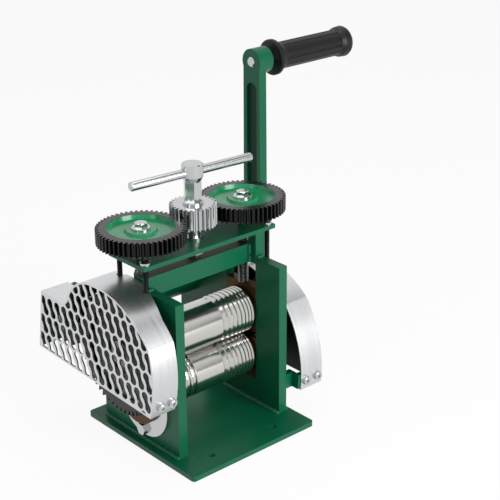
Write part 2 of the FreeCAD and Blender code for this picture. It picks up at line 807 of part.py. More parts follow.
def screw_gear(side):
    """Top gear with a recessed web and a raised boss."""
    x = side * screw_x
    wire = gear_wire(screw_gear_teeth, screw_module, screw_backlash)
    first_tooth = math.pi if side > 0 else math.pi / screw_gear_teeth
    gear = gear_z(wire, (screw_gear_under, screw_gear_top), x, 0, first_tooth)
    floor = screw_gear_top - screw_gear_web_recess
    recess = lathe_z([(floor, screw_gear_web_radius - 1), (screw_gear_top, screw_gear_web_radius + 0.5),
                      (screw_gear_top + 1, screw_gear_web_radius + 0.5)], x, 0)
    boss = lathe_z([(floor - 1, screw_gear_boss_radius + 1.5), (floor, screw_gear_boss_radius + 1.5),
                    (floor + screw_gear_boss_rise, screw_gear_boss_radius)], x, 0)
    gear = gear.cut(recess.cut(boss))
    return gear.cut(rod_z((screw_gear_under - 1, screw_gear_top + 1), screw_seat_diameter / 2, x, 0))


def screw_gear_fastener(side):
    """Washer and hexagon bolt that hold a top gear on its screw."""
    x = side * screw_x
    z = screw_gear_top - screw_gear_web_recess + screw_gear_boss_rise
    radius = gear_washer_diameter / 2
    top = z + gear_washer_thickness
    washer = lathe_z([(z, radius), (top - edge_break / 2, radius), (top, radius - edge_break / 2)], x, 0)
    head_top = top + gear_bolt_height
    head = hexagon_z((top, head_top), gear_bolt_flats, x, 0)
    corner = gear_bolt_flats / math.sqrt(3)
    crown = lathe_z([(top, corner), (head_top - edge_break, corner), (head_top, corner - gear_bolt_crown)], x, 0)
    return [washer, head.common(crown)]


def centre_pinion():
    """Bright pinion on the adjusting shaft that turns both top gears."""
    wire = gear_wire(centre_pinion_teeth, screw_module, screw_backlash)
    gear = gear_z(wire, (centre_pinion_under, centre_pinion_top), 0, 0, math.pi)
    return gear.cut(rod_z((centre_pinion_under - 1, centre_pinion_top + 1), shaft_diameter / 2, 0, 0))


def adjusting_shaft():
    return rod_z((shaft_foot_z, shaft_top_z), shaft_diameter / 2, 0, 0)


def shaft_nut():
    """Long nut on the foot of the adjusting shaft, and the collar on it above the top plate."""
    span = (shaft_foot_z, top_plate_under - free_gap)
    nut = hexagon_z(span, shaft_nut_flats, 0, 0)
    collar_span = (top_plate_top + shaft_washer_thickness + running, centre_pinion_under)
    collar = rod_z(collar_span, shaft_diameter / 2 + shaft_collar_wall, 0, 0)
    bore = rod_z((span[0] - 1, collar_span[1] + 1), shaft_diameter / 2, 0, 0)
    return [nut.cut(bore), collar.cut(bore)]


def shaft_washer():
    span = (top_plate_top, top_plate_top + shaft_washer_thickness)
    ring = rod_z(span, shaft_washer_diameter / 2, 0, 0)
    return ring.cut(rod_z((span[0] - 1, span[1] + 1), shaft_diameter / 2 + running, 0, 0))


def tommy_hub():
    """Hexagonal neck with a round head, drilled across for the bar."""
    low = centre_pinion_top
    neck = hexagon_z((low, hub_head_bottom + hub_head_cone), hub_flats, 0, 0)
    collar_radius = hub_collar_diameter / 2
    collar_top = low + hub_collar_height
    collar = lathe_z([(low, collar_radius), (collar_top - edge_break, collar_radius),
                      (collar_top, collar_radius - edge_break)], 0, 0)
    head_radius = hub_head_diameter / 2
    head = lathe_z([(hub_head_bottom, hub_flats / 2), (hub_head_bottom + hub_head_cone, head_radius),
                    (hub_top - edge_break, head_radius), (hub_top, head_radius - edge_break)], 0, 0)
    hub = neck.fuse(collar).fuse(head)
    hub = hub.cut(rod_z((low - 1, shaft_top_z), shaft_diameter / 2, 0, 0))
    hole = rod_x((-hub_head_diameter, hub_head_diameter), tommy_bar_diameter / 2, 0, tommy_bar_z)
    hole.rotate(V(0, 0, tommy_bar_z), V(0, 0, 1), tommy_bar_turn)
    return hub.cut(hole)


def tommy_bar():
    half = tommy_bar_length / 2
    radius = tommy_bar_diameter / 2
    profile = [(-half, radius - edge_break), (-half + edge_break, radius), (half - edge_break, radius),
               (half, radius - edge_break)]
    bar = lathe_x(profile, 0, tommy_bar_z)
    bar.rotate(V(0, 0, tommy_bar_z), V(0, 0, 1), tommy_bar_turn)
    return bar


# ---- crank -----------------------------------------------------------------
def bearing_bracket(side, bore):
    """Plate welded on the back edge of a side plate; it carries the crank shaft's bearing."""
    x = span_x(side, inner_x, outer_x)
    bracket = block(x, (plate_rear, plate_rear + bracket_depth), (bracket_bottom, bracket_top))
    return bracket.cut(rod_x((x[0] - 1, x[1] + 1), bore, crank_axis_y, crank_axis_z))


def bearing_tube():
    """Tube from the left bracket through the right one, so that the crank has a long bearing."""
    tube = rod_x((-inner_x, tube_end_x), bearing_tube_diameter / 2, crank_axis_y, crank_axis_z)
    return tube.cut(rod_x((-inner_x - 1, tube_end_x + 1), crank_bush_radius, crank_axis_y, crank_axis_z))


def crank_bushes():
    """Bronze bushes: through the left bracket, beside the right plate and in the tube's end."""
    spans = [(-outer_x, -inner_x + crank_bush_past_bracket),
             (inner_x - crank_bush_past_plate, outer_x + crank_bush_past_plate),
             (tube_end_x - crank_bush_end_length, tube_end_x)]
    bore = crank_shaft_diameter / 2 + running
    bushes = []
    for span in spans:
        bush = rod_x(span, crank_bush_radius, crank_axis_y, crank_axis_z)
        bushes.append(bush.cut(rod_x((span[0] - 1, span[1] + 1), bore, crank_axis_y, crank_axis_z)))
    return bushes


def crank_shaft():
    """Shaft from just inside the left cover to the outer face of the arm."""
    left = -(cover_outer_x["left"] - sheet - crank_spacer_wall)
    right = arm_outer_x + crank_shaft_show
    return rod_x((left, right), crank_shaft_diameter / 2, crank_axis_y, crank_axis_z)


def crank_spacers():
    """Collars that keep the crank shaft in place endways."""
    spans = [(pinion_span[1], -outer_x - free_gap), (tube_end_x + free_gap, crank_hub_x)]
    radius = crank_shaft_diameter / 2
    rings = []
    for span in spans:
        ring = rod_x(span, radius + crank_spacer_wall, crank_axis_y, crank_axis_z)
        rings.append(ring.cut(rod_x((span[0] - 1, span[1] + 1), radius, crank_axis_y, crank_axis_z)))
    return rings


def crank_arm():
    """Cast arm: a hub on the shaft, a tapering bar with a long pocket, and a boss for the handle."""
    low = crank_arm_width_low / 2
    high = crank_arm_width_high / 2
    ring = [V(0, crank_axis_y - low, crank_axis_z), V(0, crank_axis_y + low, crank_axis_z),
            V(0, crank_axis_y + high, crank_pin_z), V(0, crank_axis_y - high, crank_pin_z)]
    bar = plate_from(Part.makePolygon(ring + [ring[0]]), (crank_arm_x, arm_outer_x))
    arm = bar.fuse(rod_x((crank_hub_x, arm_outer_x), crank_hub_radius, crank_axis_y, crank_axis_z))
    arm = arm.fuse(rod_x((crank_arm_x, boss_end_x), crank_boss_radius, crank_axis_y, crank_pin_z))
    half = crank_pocket_width / 2
    foot = crank_axis_z + crank_hub_radius + crank_pocket_above_hub
    head = crank_pin_z - crank_pocket_below_pin - half
    x = (crank_arm_x - 1, crank_arm_x + crank_pocket_depth)
    pocket = block(x, (crank_axis_y - half, crank_axis_y + half), (foot, head))
    pocket = pocket.fuse(rod_x(x, half, crank_axis_y, foot)).fuse(rod_x(x, half, crank_axis_y, head))
    arm = arm.removeSplitter().cut(pocket)
    through = (crank_hub_x - 1, boss_end_x + 1)
    arm = arm.cut(rod_x(through, crank_shaft_diameter / 2, crank_axis_y, crank_axis_z))
    return arm.cut(rod_x(through, spindle_diameter / 2, crank_axis_y, crank_pin_z))


def handle_spindle():
    """Fixed pin that the grip turns on, with a collar before the grip and a head inside it."""
    start = crank_arm_x - spindle_show
    radius = spindle_diameter / 2
    collar = radius + spindle_collar_wall
    neck = radius - spindle_neck_step
    collar_end = grip_start_x - free_gap
    profile = [(start, radius - edge_break), (start + edge_break, radius), (boss_end_x, radius),
               (boss_end_x, collar), (collar_end, collar), (collar_end, neck), (spindle_head_x, neck),
               (spindle_head_x, collar), (spindle_head_x + spindle_head_length, collar)]
    return lathe_x(profile, crank_axis_y, crank_pin_z)


def grip():
    """Fluted rubber grip with a flange and a flared end, hollow for the spindle."""
    start = grip_start_x
    end = grip_end_x
    flange_end = start + grip_flange_thickness
    body_start = flange_end + grip_blend
    flare = end - grip_end_length
    profile = [(start, grip_flange_radius - grip_edge), (start + grip_edge, grip_flange_radius),
               (flange_end, grip_flange_radius), (flange_end + 2 * grip_edge, grip_radius + grip_edge),
               (body_start, grip_radius), (flare, grip_radius),
               (flare + grip_blend / 2, grip_end_radius - grip_edge / 2),
               (end - 3 * grip_edge, grip_end_radius), (end - grip_edge, grip_end_radius - grip_edge),
               (end, grip_end_radius - 3 * grip_edge)]
    body = lathe_x(profile, crank_axis_y, crank_pin_z)
    bore = spindle_diameter / 2 - spindle_neck_step + running
    body = body.cut(rod_x((start - 1, spindle_head_x), bore, crank_axis_y, crank_pin_z))
    pocket = (spindle_head_x - free_gap, spindle_head_x + spindle_head_length + free_gap)
    pocket_radius = spindle_diameter / 2 + spindle_collar_wall + free_gap
    body = body.cut(rod_x(pocket, pocket_radius, crank_axis_y, crank_pin_z))
    for i in range(flute_count):
        angle = 2 * math.pi * i / flute_count
        y = crank_axis_y + (grip_radius + flute_rise) * math.cos(angle)
        z = crank_pin_z + (grip_radius + flute_rise) * math.sin(angle)
        body = body.cut(rod_x((body_start, flare - 2), flute_radius, y, z))
    return body


# ---- gear covers -------------------------------------------------------------
def yz(point):
    return V(0, point[0], point[1])


def band_line(name):
    """Edges of a cover's band from its front foot over the top to its rear foot, in YZ."""
    edges = [Part.Arc(*[yz(p) for p in arc]).toShape() for arc in cover_arcs[name]]
    at = cover_arcs[name][-1][-1]
    for corner in cover_corners[name]:
        edges.append(Part.makeLine(yz(at), yz(corner)))
        at = corner
    return edges


def feet(name):
    """Front and rear foot of a cover's band."""
    return yz(cover_arcs[name][0][0]), yz(cover_corners[name][-1])


def cover_area(name, inset):
    """Face inside the band line, drawn in by inset and running on below the feet."""
    edges = band_line(name)
    first, last = edges[0], edges[-1]
    front, rear = feet(name)
    front_low = front - first.tangentAt(first.FirstParameter) * cover_run_on
    rear_low = rear + last.tangentAt(last.LastParameter) * cover_run_on
    edges += [Part.makeLine(rear, rear_low), Part.makeLine(rear_low, front_low), Part.makeLine(front_low, front)]
    face = Part.Face(Part.Wire(edges))
    return face.makeOffset2D(-inset).Faces[0] if inset else face


def below_feet(name, lift):
    """Face of everything below the line through a cover's feet, raised by lift."""
    front, rear = feet(name)
    beyond = (rear - front).normalize() * cover_run_on * 2
    up = V(0, 0, lift)
    down = V(0, 0, -cover_run_on * 4)
    ring = [front - beyond + up, rear + beyond + up, rear + beyond + down, front - beyond + down]
    return Part.Face(Part.makePolygon(ring + [ring[0]]))


def inside_cover(name, x, inset):
    """Everything inside a cover's band, as a solid."""
    return thicken(cover_area(name, inset), x).cut(thicken(below_feet(name, 0.0), x))


def slot_wire(y, z):
    """Peanut-shaped slot: two lobes joined by a waist, leaning forwards at its foot."""
    axis = V(0, slot_lobe_y, slot_lobe_z)
    reach = axis.Length / 2
    along = axis.normalize()
    across = V(0, along.z, -along.y)
    middle = V(0, y, z)
    r = slot_lobe_radius
    back = 0.35 * r
    side = math.sqrt(r ** 2 - back ** 2)
    corners = []
    for end in (1, -1):
        lobe = middle + along * (end * reach)
        corners.append((lobe - along * (end * back) + across * (end * side), lobe + along * (end * r),
                        lobe - along * (end * back) - across * (end * side)))
    (a1, a2, a3), (b1, b2, b3) = corners
    waist = slot_waist / 2
    return Part.Wire([Part.Arc(a1, a2, a3).toShape(), Part.Arc(a3, middle - across * waist, b1).toShape(),
                      Part.Arc(b1, b2, b3).toShape(), Part.Arc(b3, middle + across * waist, a1).toShape()])


def slot_places(box, middle_y, middle_z):
    """Middles of all slots that may touch a box, in leaning rows."""
    rows = int(box.ZLength / slot_pitch_z) + 2
    columns = int(box.YLength / slot_pitch_y) + 3
    places = []
    for row in range(-rows, rows + 1):
        for column in range(-columns, columns + 1):
            y = middle_y + column * slot_pitch_y - row * slot_row_shift
            z = middle_z + row * slot_pitch_z
            near_y = box.YMin - slot_pitch_y < y < box.YMax + slot_pitch_y
            if near_y and box.ZMin - slot_pitch_z < z < box.ZMax + slot_pitch_z:
                places.append((y, z))
    return places


def cover_face(name, x, middle_y, middle_z):
    """Perforated sheet: whole slots inside, and slots cut short at the edge."""
    plain = cover_area(name, 0.0).cut(below_feet(name, 0.0)).Faces[0]
    frame = cover_area(name, slot_margin).cut(below_feet(name, slot_margin))
    through = (x[0] - 1, x[1] + 1)
    cutters = []
    for y, z in slot_places(plain.BoundBox, middle_y, middle_z):
        for piece in Part.Face(slot_wire(y, z)).common(frame).Faces:
            if piece.Area > slot_smallest_area:
                cutters.append(thicken(piece, through))
    return thicken(plain, x).cut(cutters)


def cover_liner(name, x):
    """Thin black sheet behind the perforated face."""
    area = cover_area(name, sheet + liner_gap)
    return thicken(area, x).cut(thicken(below_feet(name, liner_gap), x))


def front_lug(name, side):
    """Lug on the front of a side plate's outer face; inside the cover its tab backs the band's foot."""
    low = feet(name)[0].z + lug_drop
    z = (low, low + lug_height)
    behind = plate_front + lug_depth
    ahead = plate_front - cover_run_on
    inside = cover_outer_x[name] - sheet - 2 * liner_thickness
    arm = block(span_x(side, outer_x, lug_reach), (plate_front, behind), z)
    web = block(span_x(side, lug_reach - lug_web, lug_reach), (ahead, behind), z)
    tab_x = span_x(side, lug_reach - lug_web, inside)
    tab = block(tab_x, (ahead, plate_front), z).cut(inside_cover(name, tab_x, sheet + lug_tab))
    lug = arm.fuse(web).fuse(tab).common(inside_cover(name, span_x(side, outer_x, inside), sheet))
    for shank, head in cover_screws(name, side):
        lug = lug.cut(shank)
    return lug.removeSplitter()


def left_rear_lug():
    """Strap on the left bracket whose tab carries the rear of the left cover."""
    strap_end = outer_x + left_strap_thickness
    top = left_strap_z[1]
    strap = block((-strap_end, -outer_x), left_strap_y, left_strap_z)
    tab = block((-left_tab_reach, -strap_end), (left_tab_y, left_tab_y + cover_run_on), (top - left_tab_height, top))
    return strap.fuse(tab.common(inside_cover("left", (-left_tab_reach, -strap_end), sheet)))


def right_rear_lug():
    """Tab on the right plate's outer face that carries the rear of the right cover."""
    inner_wall = cover_corners["right"][-1][0] - sheet
    return block((outer_x, right_tab_reach), (inner_wall - right_tab_thickness, inner_wall), right_tab_z)


def cover_screws(name, side):
    """(shank, head) of the two screws through the foot of a cover's band."""
    foot_arc = band_line(name)[0].Curve
    z = feet(name)[0].z + lug_drop + lug_height / 2
    lean = math.asin((foot_arc.Center.z - z) / foot_arc.Radius)
    away = V(0, -math.cos(lean), -math.sin(lean))
    seat = V(0, foot_arc.Center.y, foot_arc.Center.z) + away * foot_arc.Radius
    screws = []
    for x in cover_screw_x[name]:
        at = seat + V(side * x, 0, 0)
        top = at + away * cover_screw_head_height
        shank = Part.makeCylinder(cover_screw_diameter / 2, cover_screw_length, at - away * cover_screw_length, away)
        head = Part.makeCylinder(cover_screw_head / 2, cover_screw_head_height, at, away)
        rim = [e for e in head.Edges if e.CenterOfMass.distanceToPoint(top) < 0.01]
        head = head.makeFillet(cover_screw_edge, rim)
        socket_foot = top - away * cover_screw_socket_depth
        socket = Part.makeCylinder(cover_screw_socket / 2, cover_screw_socket_depth, socket_foot, away)
        screws.append((shank, head.cut(socket)))
    return screws


def cover_band(name, side, x):
    """Bent strip of a cover, drilled for the screws in its foot."""
    grown = (x[0] - 1, x[1] + 1)
    band = inside_cover(name, x, 0.0).cut(thicken(cover_area(name, sheet), grown))
    for shank, head in cover_screws(name, side):
        band = band.cut(shank)
    return band


def left_near_side(z):
    """What the left band leaves free: its stepped near edge and notches for the two left studs."""
    ring = [V(x, y, z[0]) for x, y in left_near_edge]
    ring += [V(-outer_x, left_near_edge[-1][1], z[0]), V(-outer_x, left_near_edge[0][1], z[0])]
    cutters = [Part.Face(Part.makePolygon(ring + [ring[0]])).extrude(V(0, 0, z[1] - z[0]))]
    radius = stud_diameter / 2 + stud_notch_gap
    for x, y in stud_places():
        if x < 0:
            cutters.append(rod_z((plate_top, z[1]), radius, x, y))
            cutters.append(block((x, -outer_x), (y - radius, y + radius), (plate_top, z[1])))
    return cutters


def save_cover(name, side, slot_row):
    """Band, perforated face and, on the right, the liner behind it."""
    far = cover_outer_x[name] - sheet
    near = right_cover_near_x if name == "right" else outer_x
    band = cover_band(name, side, span_x(side, near, far))
    if name == "left":
        band = band.cut(left_near_side((0.0, beam_top + cover_run_on)))
    save(name + "_cover_band", band)
    save(name + "_cover_face", cover_face(name, span_x(side, far, cover_outer_x[name]), *slot_row))
    if name == "right":
        save("right_cover_liner", cover_liner(name, span_x(side, far - liner_thickness, far)))


def main():
    os.makedirs("parts", exist_ok=True)
    save("base_plate", base_plate())
    save("left_side_plate", side_plate(-1))
    save("right_side_plate", side_plate(1))
    save("foot_welds", *[foot_weld(s, o) for s in (-1, 1) for o in (True, False)])
    save("crossbeam", crossbeam())
    save("top_plate", top_plate())
    save("top_plate_prop", top_plate_prop())
    save("top_plate_studs", *studs())
    save("stud_nuts", *stud_heads())
    save("stud_lugs", *stud_lugs())
    save("lower_roll", lower_roll())
    save("upper_roll", upper_roll())
    save("lift_springs", *lift_springs())
    save("lower_thrust_washers", *[thrust_washer(s, lower_axis_z) for s in (-1, 1)])
    save("upper_thrust_washers", *[thrust_washer(s, upper_axis_z) for s in (-1, 1)])
    save("upper_sleeves", *[journal_sleeve(s) for s in (-1, 1)])
    save("lower_sync_gear", sync_gear(lower_axis_z, math.pi / 2))
    save("upper_sync_gear", sync_gear(upper_axis_z, -math.pi / 2 + math.pi / sync_teeth))
    sync_span = (sync_inner_x, sync_outer_x)
    drive_span = (-upper_roll_end, -drive_inner_x)
    save("lower_roll_key", gear_key(sync_span, lower_axis_z))
    save("upper_roll_keys", gear_key(sync_span, upper_axis_z), gear_key(drive_span, upper_axis_z))
    save("lower_roll_bolts", *end_bolt(sync_outer_x, lower_axis_z))
    save("upper_roll_bolts", *(end_bolt(sync_outer_x, upper_axis_z) + end_bolt(-upper_roll_end, upper_axis_z)))
    save("drive_gear", drive_gear())
    save("retaining_plate", retaining_plate())
    save("retaining_plate_bolts", *retainer_bolts())
    save("lower_thrust_collar", thrust_collar())
    save("centre_pinion", centre_pinion())
    save("adjusting_shaft", adjusting_shaft())
    save("adjusting_shaft_nut", *shaft_nut())
    save("adjusting_shaft_washer", shaft_washer())
    save("tommy_bar_hub", tommy_hub())
    save("tommy_bar", tommy_bar())
    save("crank_bearing_tube", bearing_tube())
    save("crank_bushes", *crank_bushes())
    save("crank_shaft", crank_shaft())
    save("crank_pinion", crank_pinion())
    save("crank_spacers", *crank_spacers())
    save("crank_arm", crank_arm())
    save("handle_spindle", handle_spindle())
    save("grip", grip())
    save("cover_lugs", front_lug("left", -1), front_lug("right", 1), left_rear_lug(), right_rear_lug())
    screws = cover_screws("left", -1) + cover_screws("right", 1)
    save("cover_screws", *[shank.fuse(head) for shank, head in screws])
    for name, side, bracket_bore, slot_row in (("left", -1, crank_bush_radius, (7.1, 100.0)),
                                               ("right", 1, bearing_tube_diameter / 2, (7.1, 60.0))):
        save("lower_" + name + "_block", lower_block(side))
        save("upper_" + name + "_block", upper_block(side))
        save(name + "_pressure_screw", pressure_screw(side))
        save(name + "_screw_gear", screw_gear(side))
        save(name + "_screw_gear_bolt", *screw_gear_fastener(side))
        save(name + "_crank_bracket", bearing_bracket(side, bracket_bore))
        save_cover(name, side, slot_row)



main()
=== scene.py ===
# %% [markdown]
# # A jewellers rolling mill
# Two polished rolls in a welded frame squeeze strip and wire between them. The crank turns the
# rolls through gears, and the tommy bar on top turns two screws that set the gap. The solids come
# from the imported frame, so this file is about looks: metals, enamel, rubber, threads and welds.

import math

import bmesh
import bpy
from mathutils import Matrix, Vector


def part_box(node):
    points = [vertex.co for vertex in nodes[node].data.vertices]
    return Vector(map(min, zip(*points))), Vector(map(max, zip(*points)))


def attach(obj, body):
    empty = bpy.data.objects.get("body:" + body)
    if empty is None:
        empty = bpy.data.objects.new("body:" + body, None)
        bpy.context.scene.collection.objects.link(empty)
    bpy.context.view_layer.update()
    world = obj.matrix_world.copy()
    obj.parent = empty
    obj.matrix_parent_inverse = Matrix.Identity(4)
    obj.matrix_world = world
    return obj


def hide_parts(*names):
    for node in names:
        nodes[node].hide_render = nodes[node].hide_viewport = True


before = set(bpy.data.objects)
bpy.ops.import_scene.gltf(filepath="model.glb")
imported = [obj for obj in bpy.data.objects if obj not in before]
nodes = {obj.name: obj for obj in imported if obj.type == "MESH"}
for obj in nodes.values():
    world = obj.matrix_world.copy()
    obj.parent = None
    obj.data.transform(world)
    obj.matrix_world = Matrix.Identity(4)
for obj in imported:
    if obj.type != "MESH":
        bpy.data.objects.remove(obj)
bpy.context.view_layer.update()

# %% [markdown]
# A maker gives sizes in millimetres, and Blender works in metres. One factor keeps the two apart,
# so that a thread's pitch can be written the way a maker would say it, and a fine pattern can be
# counted as so many clouds or lines in 10 or 100 mm. Only the studio round the mill, with its
# floor, lamps and cards, is given in metres.

# %% Units and colours
MM = 0.001


def linear(hex_colour):
    """sRGB hex to the linear RGBA that shaders want."""
    channels = [int(hex_colour[i:i + 2], 16) / 255 for i in (1, 3, 5)]
    curved = [c / 12.92 if c <= 0.04045 else ((c + 0.055) / 1.055) ** 2.4 for c in channels]
    return (*curved, 1.0)


print("mid grey is", [round(c, 3) for c in linear("#808080")[:3]])

# %% [markdown]
# A material is a small tree of nodes. One helper adds a node with its settings and its links; all
# finishes are built with it, so that each recipe reads as a list of what lies on the surface.


# %% One helper for nodes
def add(tree, kind, inputs=None, **settings):
    """Add a node: settings are its properties, inputs its socket values or the sockets to link."""
    made = tree.nodes.new(kind)
    for name, value in settings.items():
        setattr(made, name, value)
    for socket, value in (inputs or {}).items():
        if isinstance(value, bpy.types.NodeSocket):
            tree.links.new(value, made.inputs[socket])
        else:
            made.inputs[socket].default_value = value
    return made


def new_finish(name):
    """An empty material and its tree, ready for a surface."""
    finish = bpy.data.materials.new(name)
    finish.use_nodes = True
    finish.node_tree.nodes.clear()
    return finish, finish.node_tree


def close_finish(finish, surface):
    """Send a shader to the output."""
    tree = finish.node_tree
    add(tree, "ShaderNodeOutputMaterial", {"Surface": surface})
    print("finish:", finish.name, "with", len(tree.nodes), "nodes")
    return finish


# %% [markdown]
# Enamel is sprayed on and levels out before it dries, but never quite: it keeps a faint orange
# peel a few millimetres across. A noise bump of that size breaks up the reflections the same way,
# and a second, much wider noise lets the coat look thinner in one place than in another. Dents in
# the mesh would do it too, but at a tenth of a millimetre they would cost faces for nothing.
# Paint isn't metal, so metallic stays 0, and a thin clear coat sharpens the gloss a little.

# %% Green enamel
ENAMEL_GREEN = "#03573a"
ENAMEL_ROUGHNESS = 0.36
ORANGE_PEEL = 2.2 * MM
PEEL_HEIGHT = 0.1 * MM
COAT_PATCHES = 1.8 / (100 * MM)
# A thin coat is about a seventh darker than the colour, and a thick one as much lighter.
THIN_COAT = 0.86
THICK_COAT = 1.14


def enamel_shader(tree, colour_hex, roughness, place, coat=0.08):
    """Sprayed semi-gloss enamel: colour, a little thickness change, and orange peel."""
    peel = add(tree, "ShaderNodeTexNoise", {
        "Vector": place, "Scale": 1 / ORANGE_PEEL, "Detail": 2.0})
    patches = add(tree, "ShaderNodeTexNoise", {
        "Vector": place, "Scale": COAT_PATCHES, "Detail": 3.0})
    shade = add(tree, "ShaderNodeMix", {"Factor": patches.outputs["Fac"]}, data_type="RGBA")
    colour = linear(colour_hex)[:3]
    shade.inputs["A"].default_value = [c * THIN_COAT for c in colour] + [1.0]
    shade.inputs["B"].default_value = [c * THICK_COAT for c in colour] + [1.0]
    bump = add(tree, "ShaderNodeBump", {
        "Height": peel.outputs["Fac"], "Strength": 0.10, "Distance": PEEL_HEIGHT})
    return add(tree, "ShaderNodeBsdfPrincipled", {
        "Base Color": shade.outputs["Result"], "Roughness": roughness, "Specular IOR Level": 0.22,
        "Coat Weight": coat, "Coat Roughness": 0.15, "Normal": bump.outputs["Normal"]})


def green_enamel():
    """The enamel of the frame, on everything that is green all over."""
    finish, tree = new_finish("green_enamel")
    place = add(tree, "ShaderNodeTexCoord").outputs["Object"]
    paint = enamel_shader(tree, ENAMEL_GREEN, ENAMEL_ROUGHNESS, place)
    return close_finish(finish, paint.outputs["BSDF"])


enamel = green_enamel()

# %% [markdown]
# The crank arm is a casting with a long pocket in the face that looks toward the mill. Little
# light reaches the pocket's floor, so there the green is painted nearly black, which is painted
# shade, and the paint is duller. The floor could be cut out of the mesh and given a slot of its
# own, but the solids aren't edited here. Only the floor lies at its depth and faces the mill, so
# place and direction pick it out.

# %% Crank arm with painted shade in the pocket
# Painted shade: the pocket floor's near-black green stands for the shade in the recess.
POCKET_SHADE_GREEN = "#02301f"
HUB_REACH = 12 * MM
POCKET_DEPTH = 3 * MM
POCKET_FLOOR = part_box("crank_arm")[0][0] + HUB_REACH + POCKET_DEPTH
DEPTH_SLACK = 0.3 * MM
# A surface faces along an axis if this much of its direction does, which is within 26 degrees.
FACING = 0.9


def arm_paint():
    """Enamel, but dull and nearly black on the floor of the pocket: the black is painted shade."""
    finish, tree = new_finish("enamel_with_shaded_pocket")
    coords = add(tree, "ShaderNodeTexCoord")
    place = coords.outputs["Object"]
    paint = enamel_shader(tree, ENAMEL_GREEN, ENAMEL_ROUGHNESS, place)
    dull = enamel_shader(tree, POCKET_SHADE_GREEN, 0.6, place, coat=0.0)
    depth = add(tree, "ShaderNodeSeparateXYZ", {"Vector": place}).outputs["X"]
    direction = add(tree, "ShaderNodeSeparateXYZ", {"Vector": coords.outputs["Normal"]})
    at_depth = add(tree, "ShaderNodeMath", {0: depth, 1: POCKET_FLOOR, 2: DEPTH_SLACK},
                   operation="COMPARE")
    to_mill = add(tree, "ShaderNodeMath", {0: direction.outputs["X"], 1: -FACING},
                  operation="LESS_THAN")
    on_floor = add(tree, "ShaderNodeMath", {
        0: at_depth.outputs["Value"], 1: to_mill.outputs["Value"]}, operation="MULTIPLY")
    both = add(tree, "ShaderNodeMixShader", {
        "Fac": on_floor.outputs["Value"], 1: paint.outputs["BSDF"], 2: dull.outputs["BSDF"]})
    return close_finish(finish, both.outputs["Shader"])


arm_finish = arm_paint()
print("pocket floor lies at x =", round(POCKET_FLOOR / MM, 1), "mm")

# %% [markdown]
# The beam was milled flat on top after painting, so its top is bare steel with a brown cast, while
# its sides stay green. The surface's own direction says which is which: where it points up, steel.
# The cutter left fine marks along the beam, so the steel takes its tone from a noise that changes
# fast across the beam and slowly along it. The darker tone stands for the marks and also for the
# shade under the top plate, so it is partly painted shade.

# %% Milled beam
MILLED_STEEL = "#4f4842"
# Painted shade: the darker tone holds the shade under the top plate as well as the marks.
MILLED_MARKS_IN_SHADE = "#2b2723"
MARKS_ACROSS = 9 / (10 * MM)
MARKS_ALONG = 3 / (100 * MM)


def milled_beam():
    """Enamel on the sides, brownish bare steel on top."""
    finish, tree = new_finish("enamel_with_milled_top")
    coords = add(tree, "ShaderNodeTexCoord")
    place = coords.outputs["Object"]
    paint = enamel_shader(tree, ENAMEL_GREEN, ENAMEL_ROUGHNESS, place)
    stretched = add(tree, "ShaderNodeMapping", {
        "Vector": place, "Scale": (MARKS_ALONG, MARKS_ACROSS, MARKS_ALONG)})
    marks = add(tree, "ShaderNodeTexNoise", {
        "Vector": stretched.outputs["Vector"], "Scale": 1.0, "Detail": 4.0})
    tone = add(tree, "ShaderNodeValToRGB", {"Fac": marks.outputs["Fac"]})
    tone.color_ramp.elements[0].color = linear(MILLED_MARKS_IN_SHADE)
    tone.color_ramp.elements[1].color = linear(MILLED_STEEL)
    steel = add(tree, "ShaderNodeBsdfPrincipled", {
        "Base Color": tone.outputs["Color"], "Metallic": 0.7, "Roughness": 0.42})
    direction = add(tree, "ShaderNodeSeparateXYZ", {"Vector": coords.outputs["Normal"]})
    is_top = add(tree, "ShaderNodeMath", {0: direction.outputs["Z"], 1: FACING},
                 operation="GREATER_THAN")
    both = add(tree, "ShaderNodeMixShader", {
        "Fac": is_top.outputs["Value"], 1: paint.outputs["BSDF"], 2: steel.outputs["BSDF"]})
    return close_finish(finish, both.outputs["Shader"])


beam_finish = milled_beam()

# %% [markdown]
# The rolls are hardened tool steel, ground and then lapped on a lathe. Turning leaves rings round
# the axis, finer than a hair, which smear reflections along the roll. The rings are a noise that
# changes only along the axis, drawn a little coarser than real so that it shows. Anisotropy would
# smear too, but without a single ring to see. The same recipe, coarser and duller, gives the
# shafts, the rolls' end bolts, the oiled pressure screws and the blackened studs.

# %% Lapped roll steel
ROLL_RING = 0.5 * MM
TURNED_RING = 0.8 * MM
RING_DEPTH = 0.02 * MM
# Noise crowds round a half, so only this stretch of it is spread from the least to the most.
NOISE_LOW = 0.3
NOISE_HIGH = 0.7
# A ring's bright side and its dull side, as shares of the metal's roughness.
BRIGHT_SIDE = 0.8
DULL_SIDE = 1.25


def turned_metal(name, colour_hex, roughness, ring=TURNED_RING, relief=0.3, axis="X"):
    """Polished metal with fine rings round one axis."""
    finish, tree = new_finish(name)
    place = add(tree, "ShaderNodeTexCoord").outputs["Object"]
    along = [1.0 / ring if axis == letter else 0.0 for letter in "XYZ"]
    stretched = add(tree, "ShaderNodeMapping", {"Vector": place, "Scale": along})
    rings = add(tree, "ShaderNodeTexNoise", {
        "Vector": stretched.outputs["Vector"], "Scale": 1.0, "Detail": 2.0})
    bump = add(tree, "ShaderNodeBump", {
        "Height": rings.outputs["Fac"], "Strength": relief, "Distance": RING_DEPTH})
    shine = add(tree, "ShaderNodeMapRange", {
        "Value": rings.outputs["Fac"], "From Min": NOISE_LOW, "From Max": NOISE_HIGH,
        "To Min": roughness * BRIGHT_SIDE, "To Max": roughness * DULL_SIDE})
    metal = add(tree, "ShaderNodeBsdfPrincipled", {
        "Base Color": linear(colour_hex), "Metallic": 1.0, "Roughness": shine.outputs["Result"],
        "Normal": bump.outputs["Normal"]})
    return close_finish(finish, metal.outputs["BSDF"])


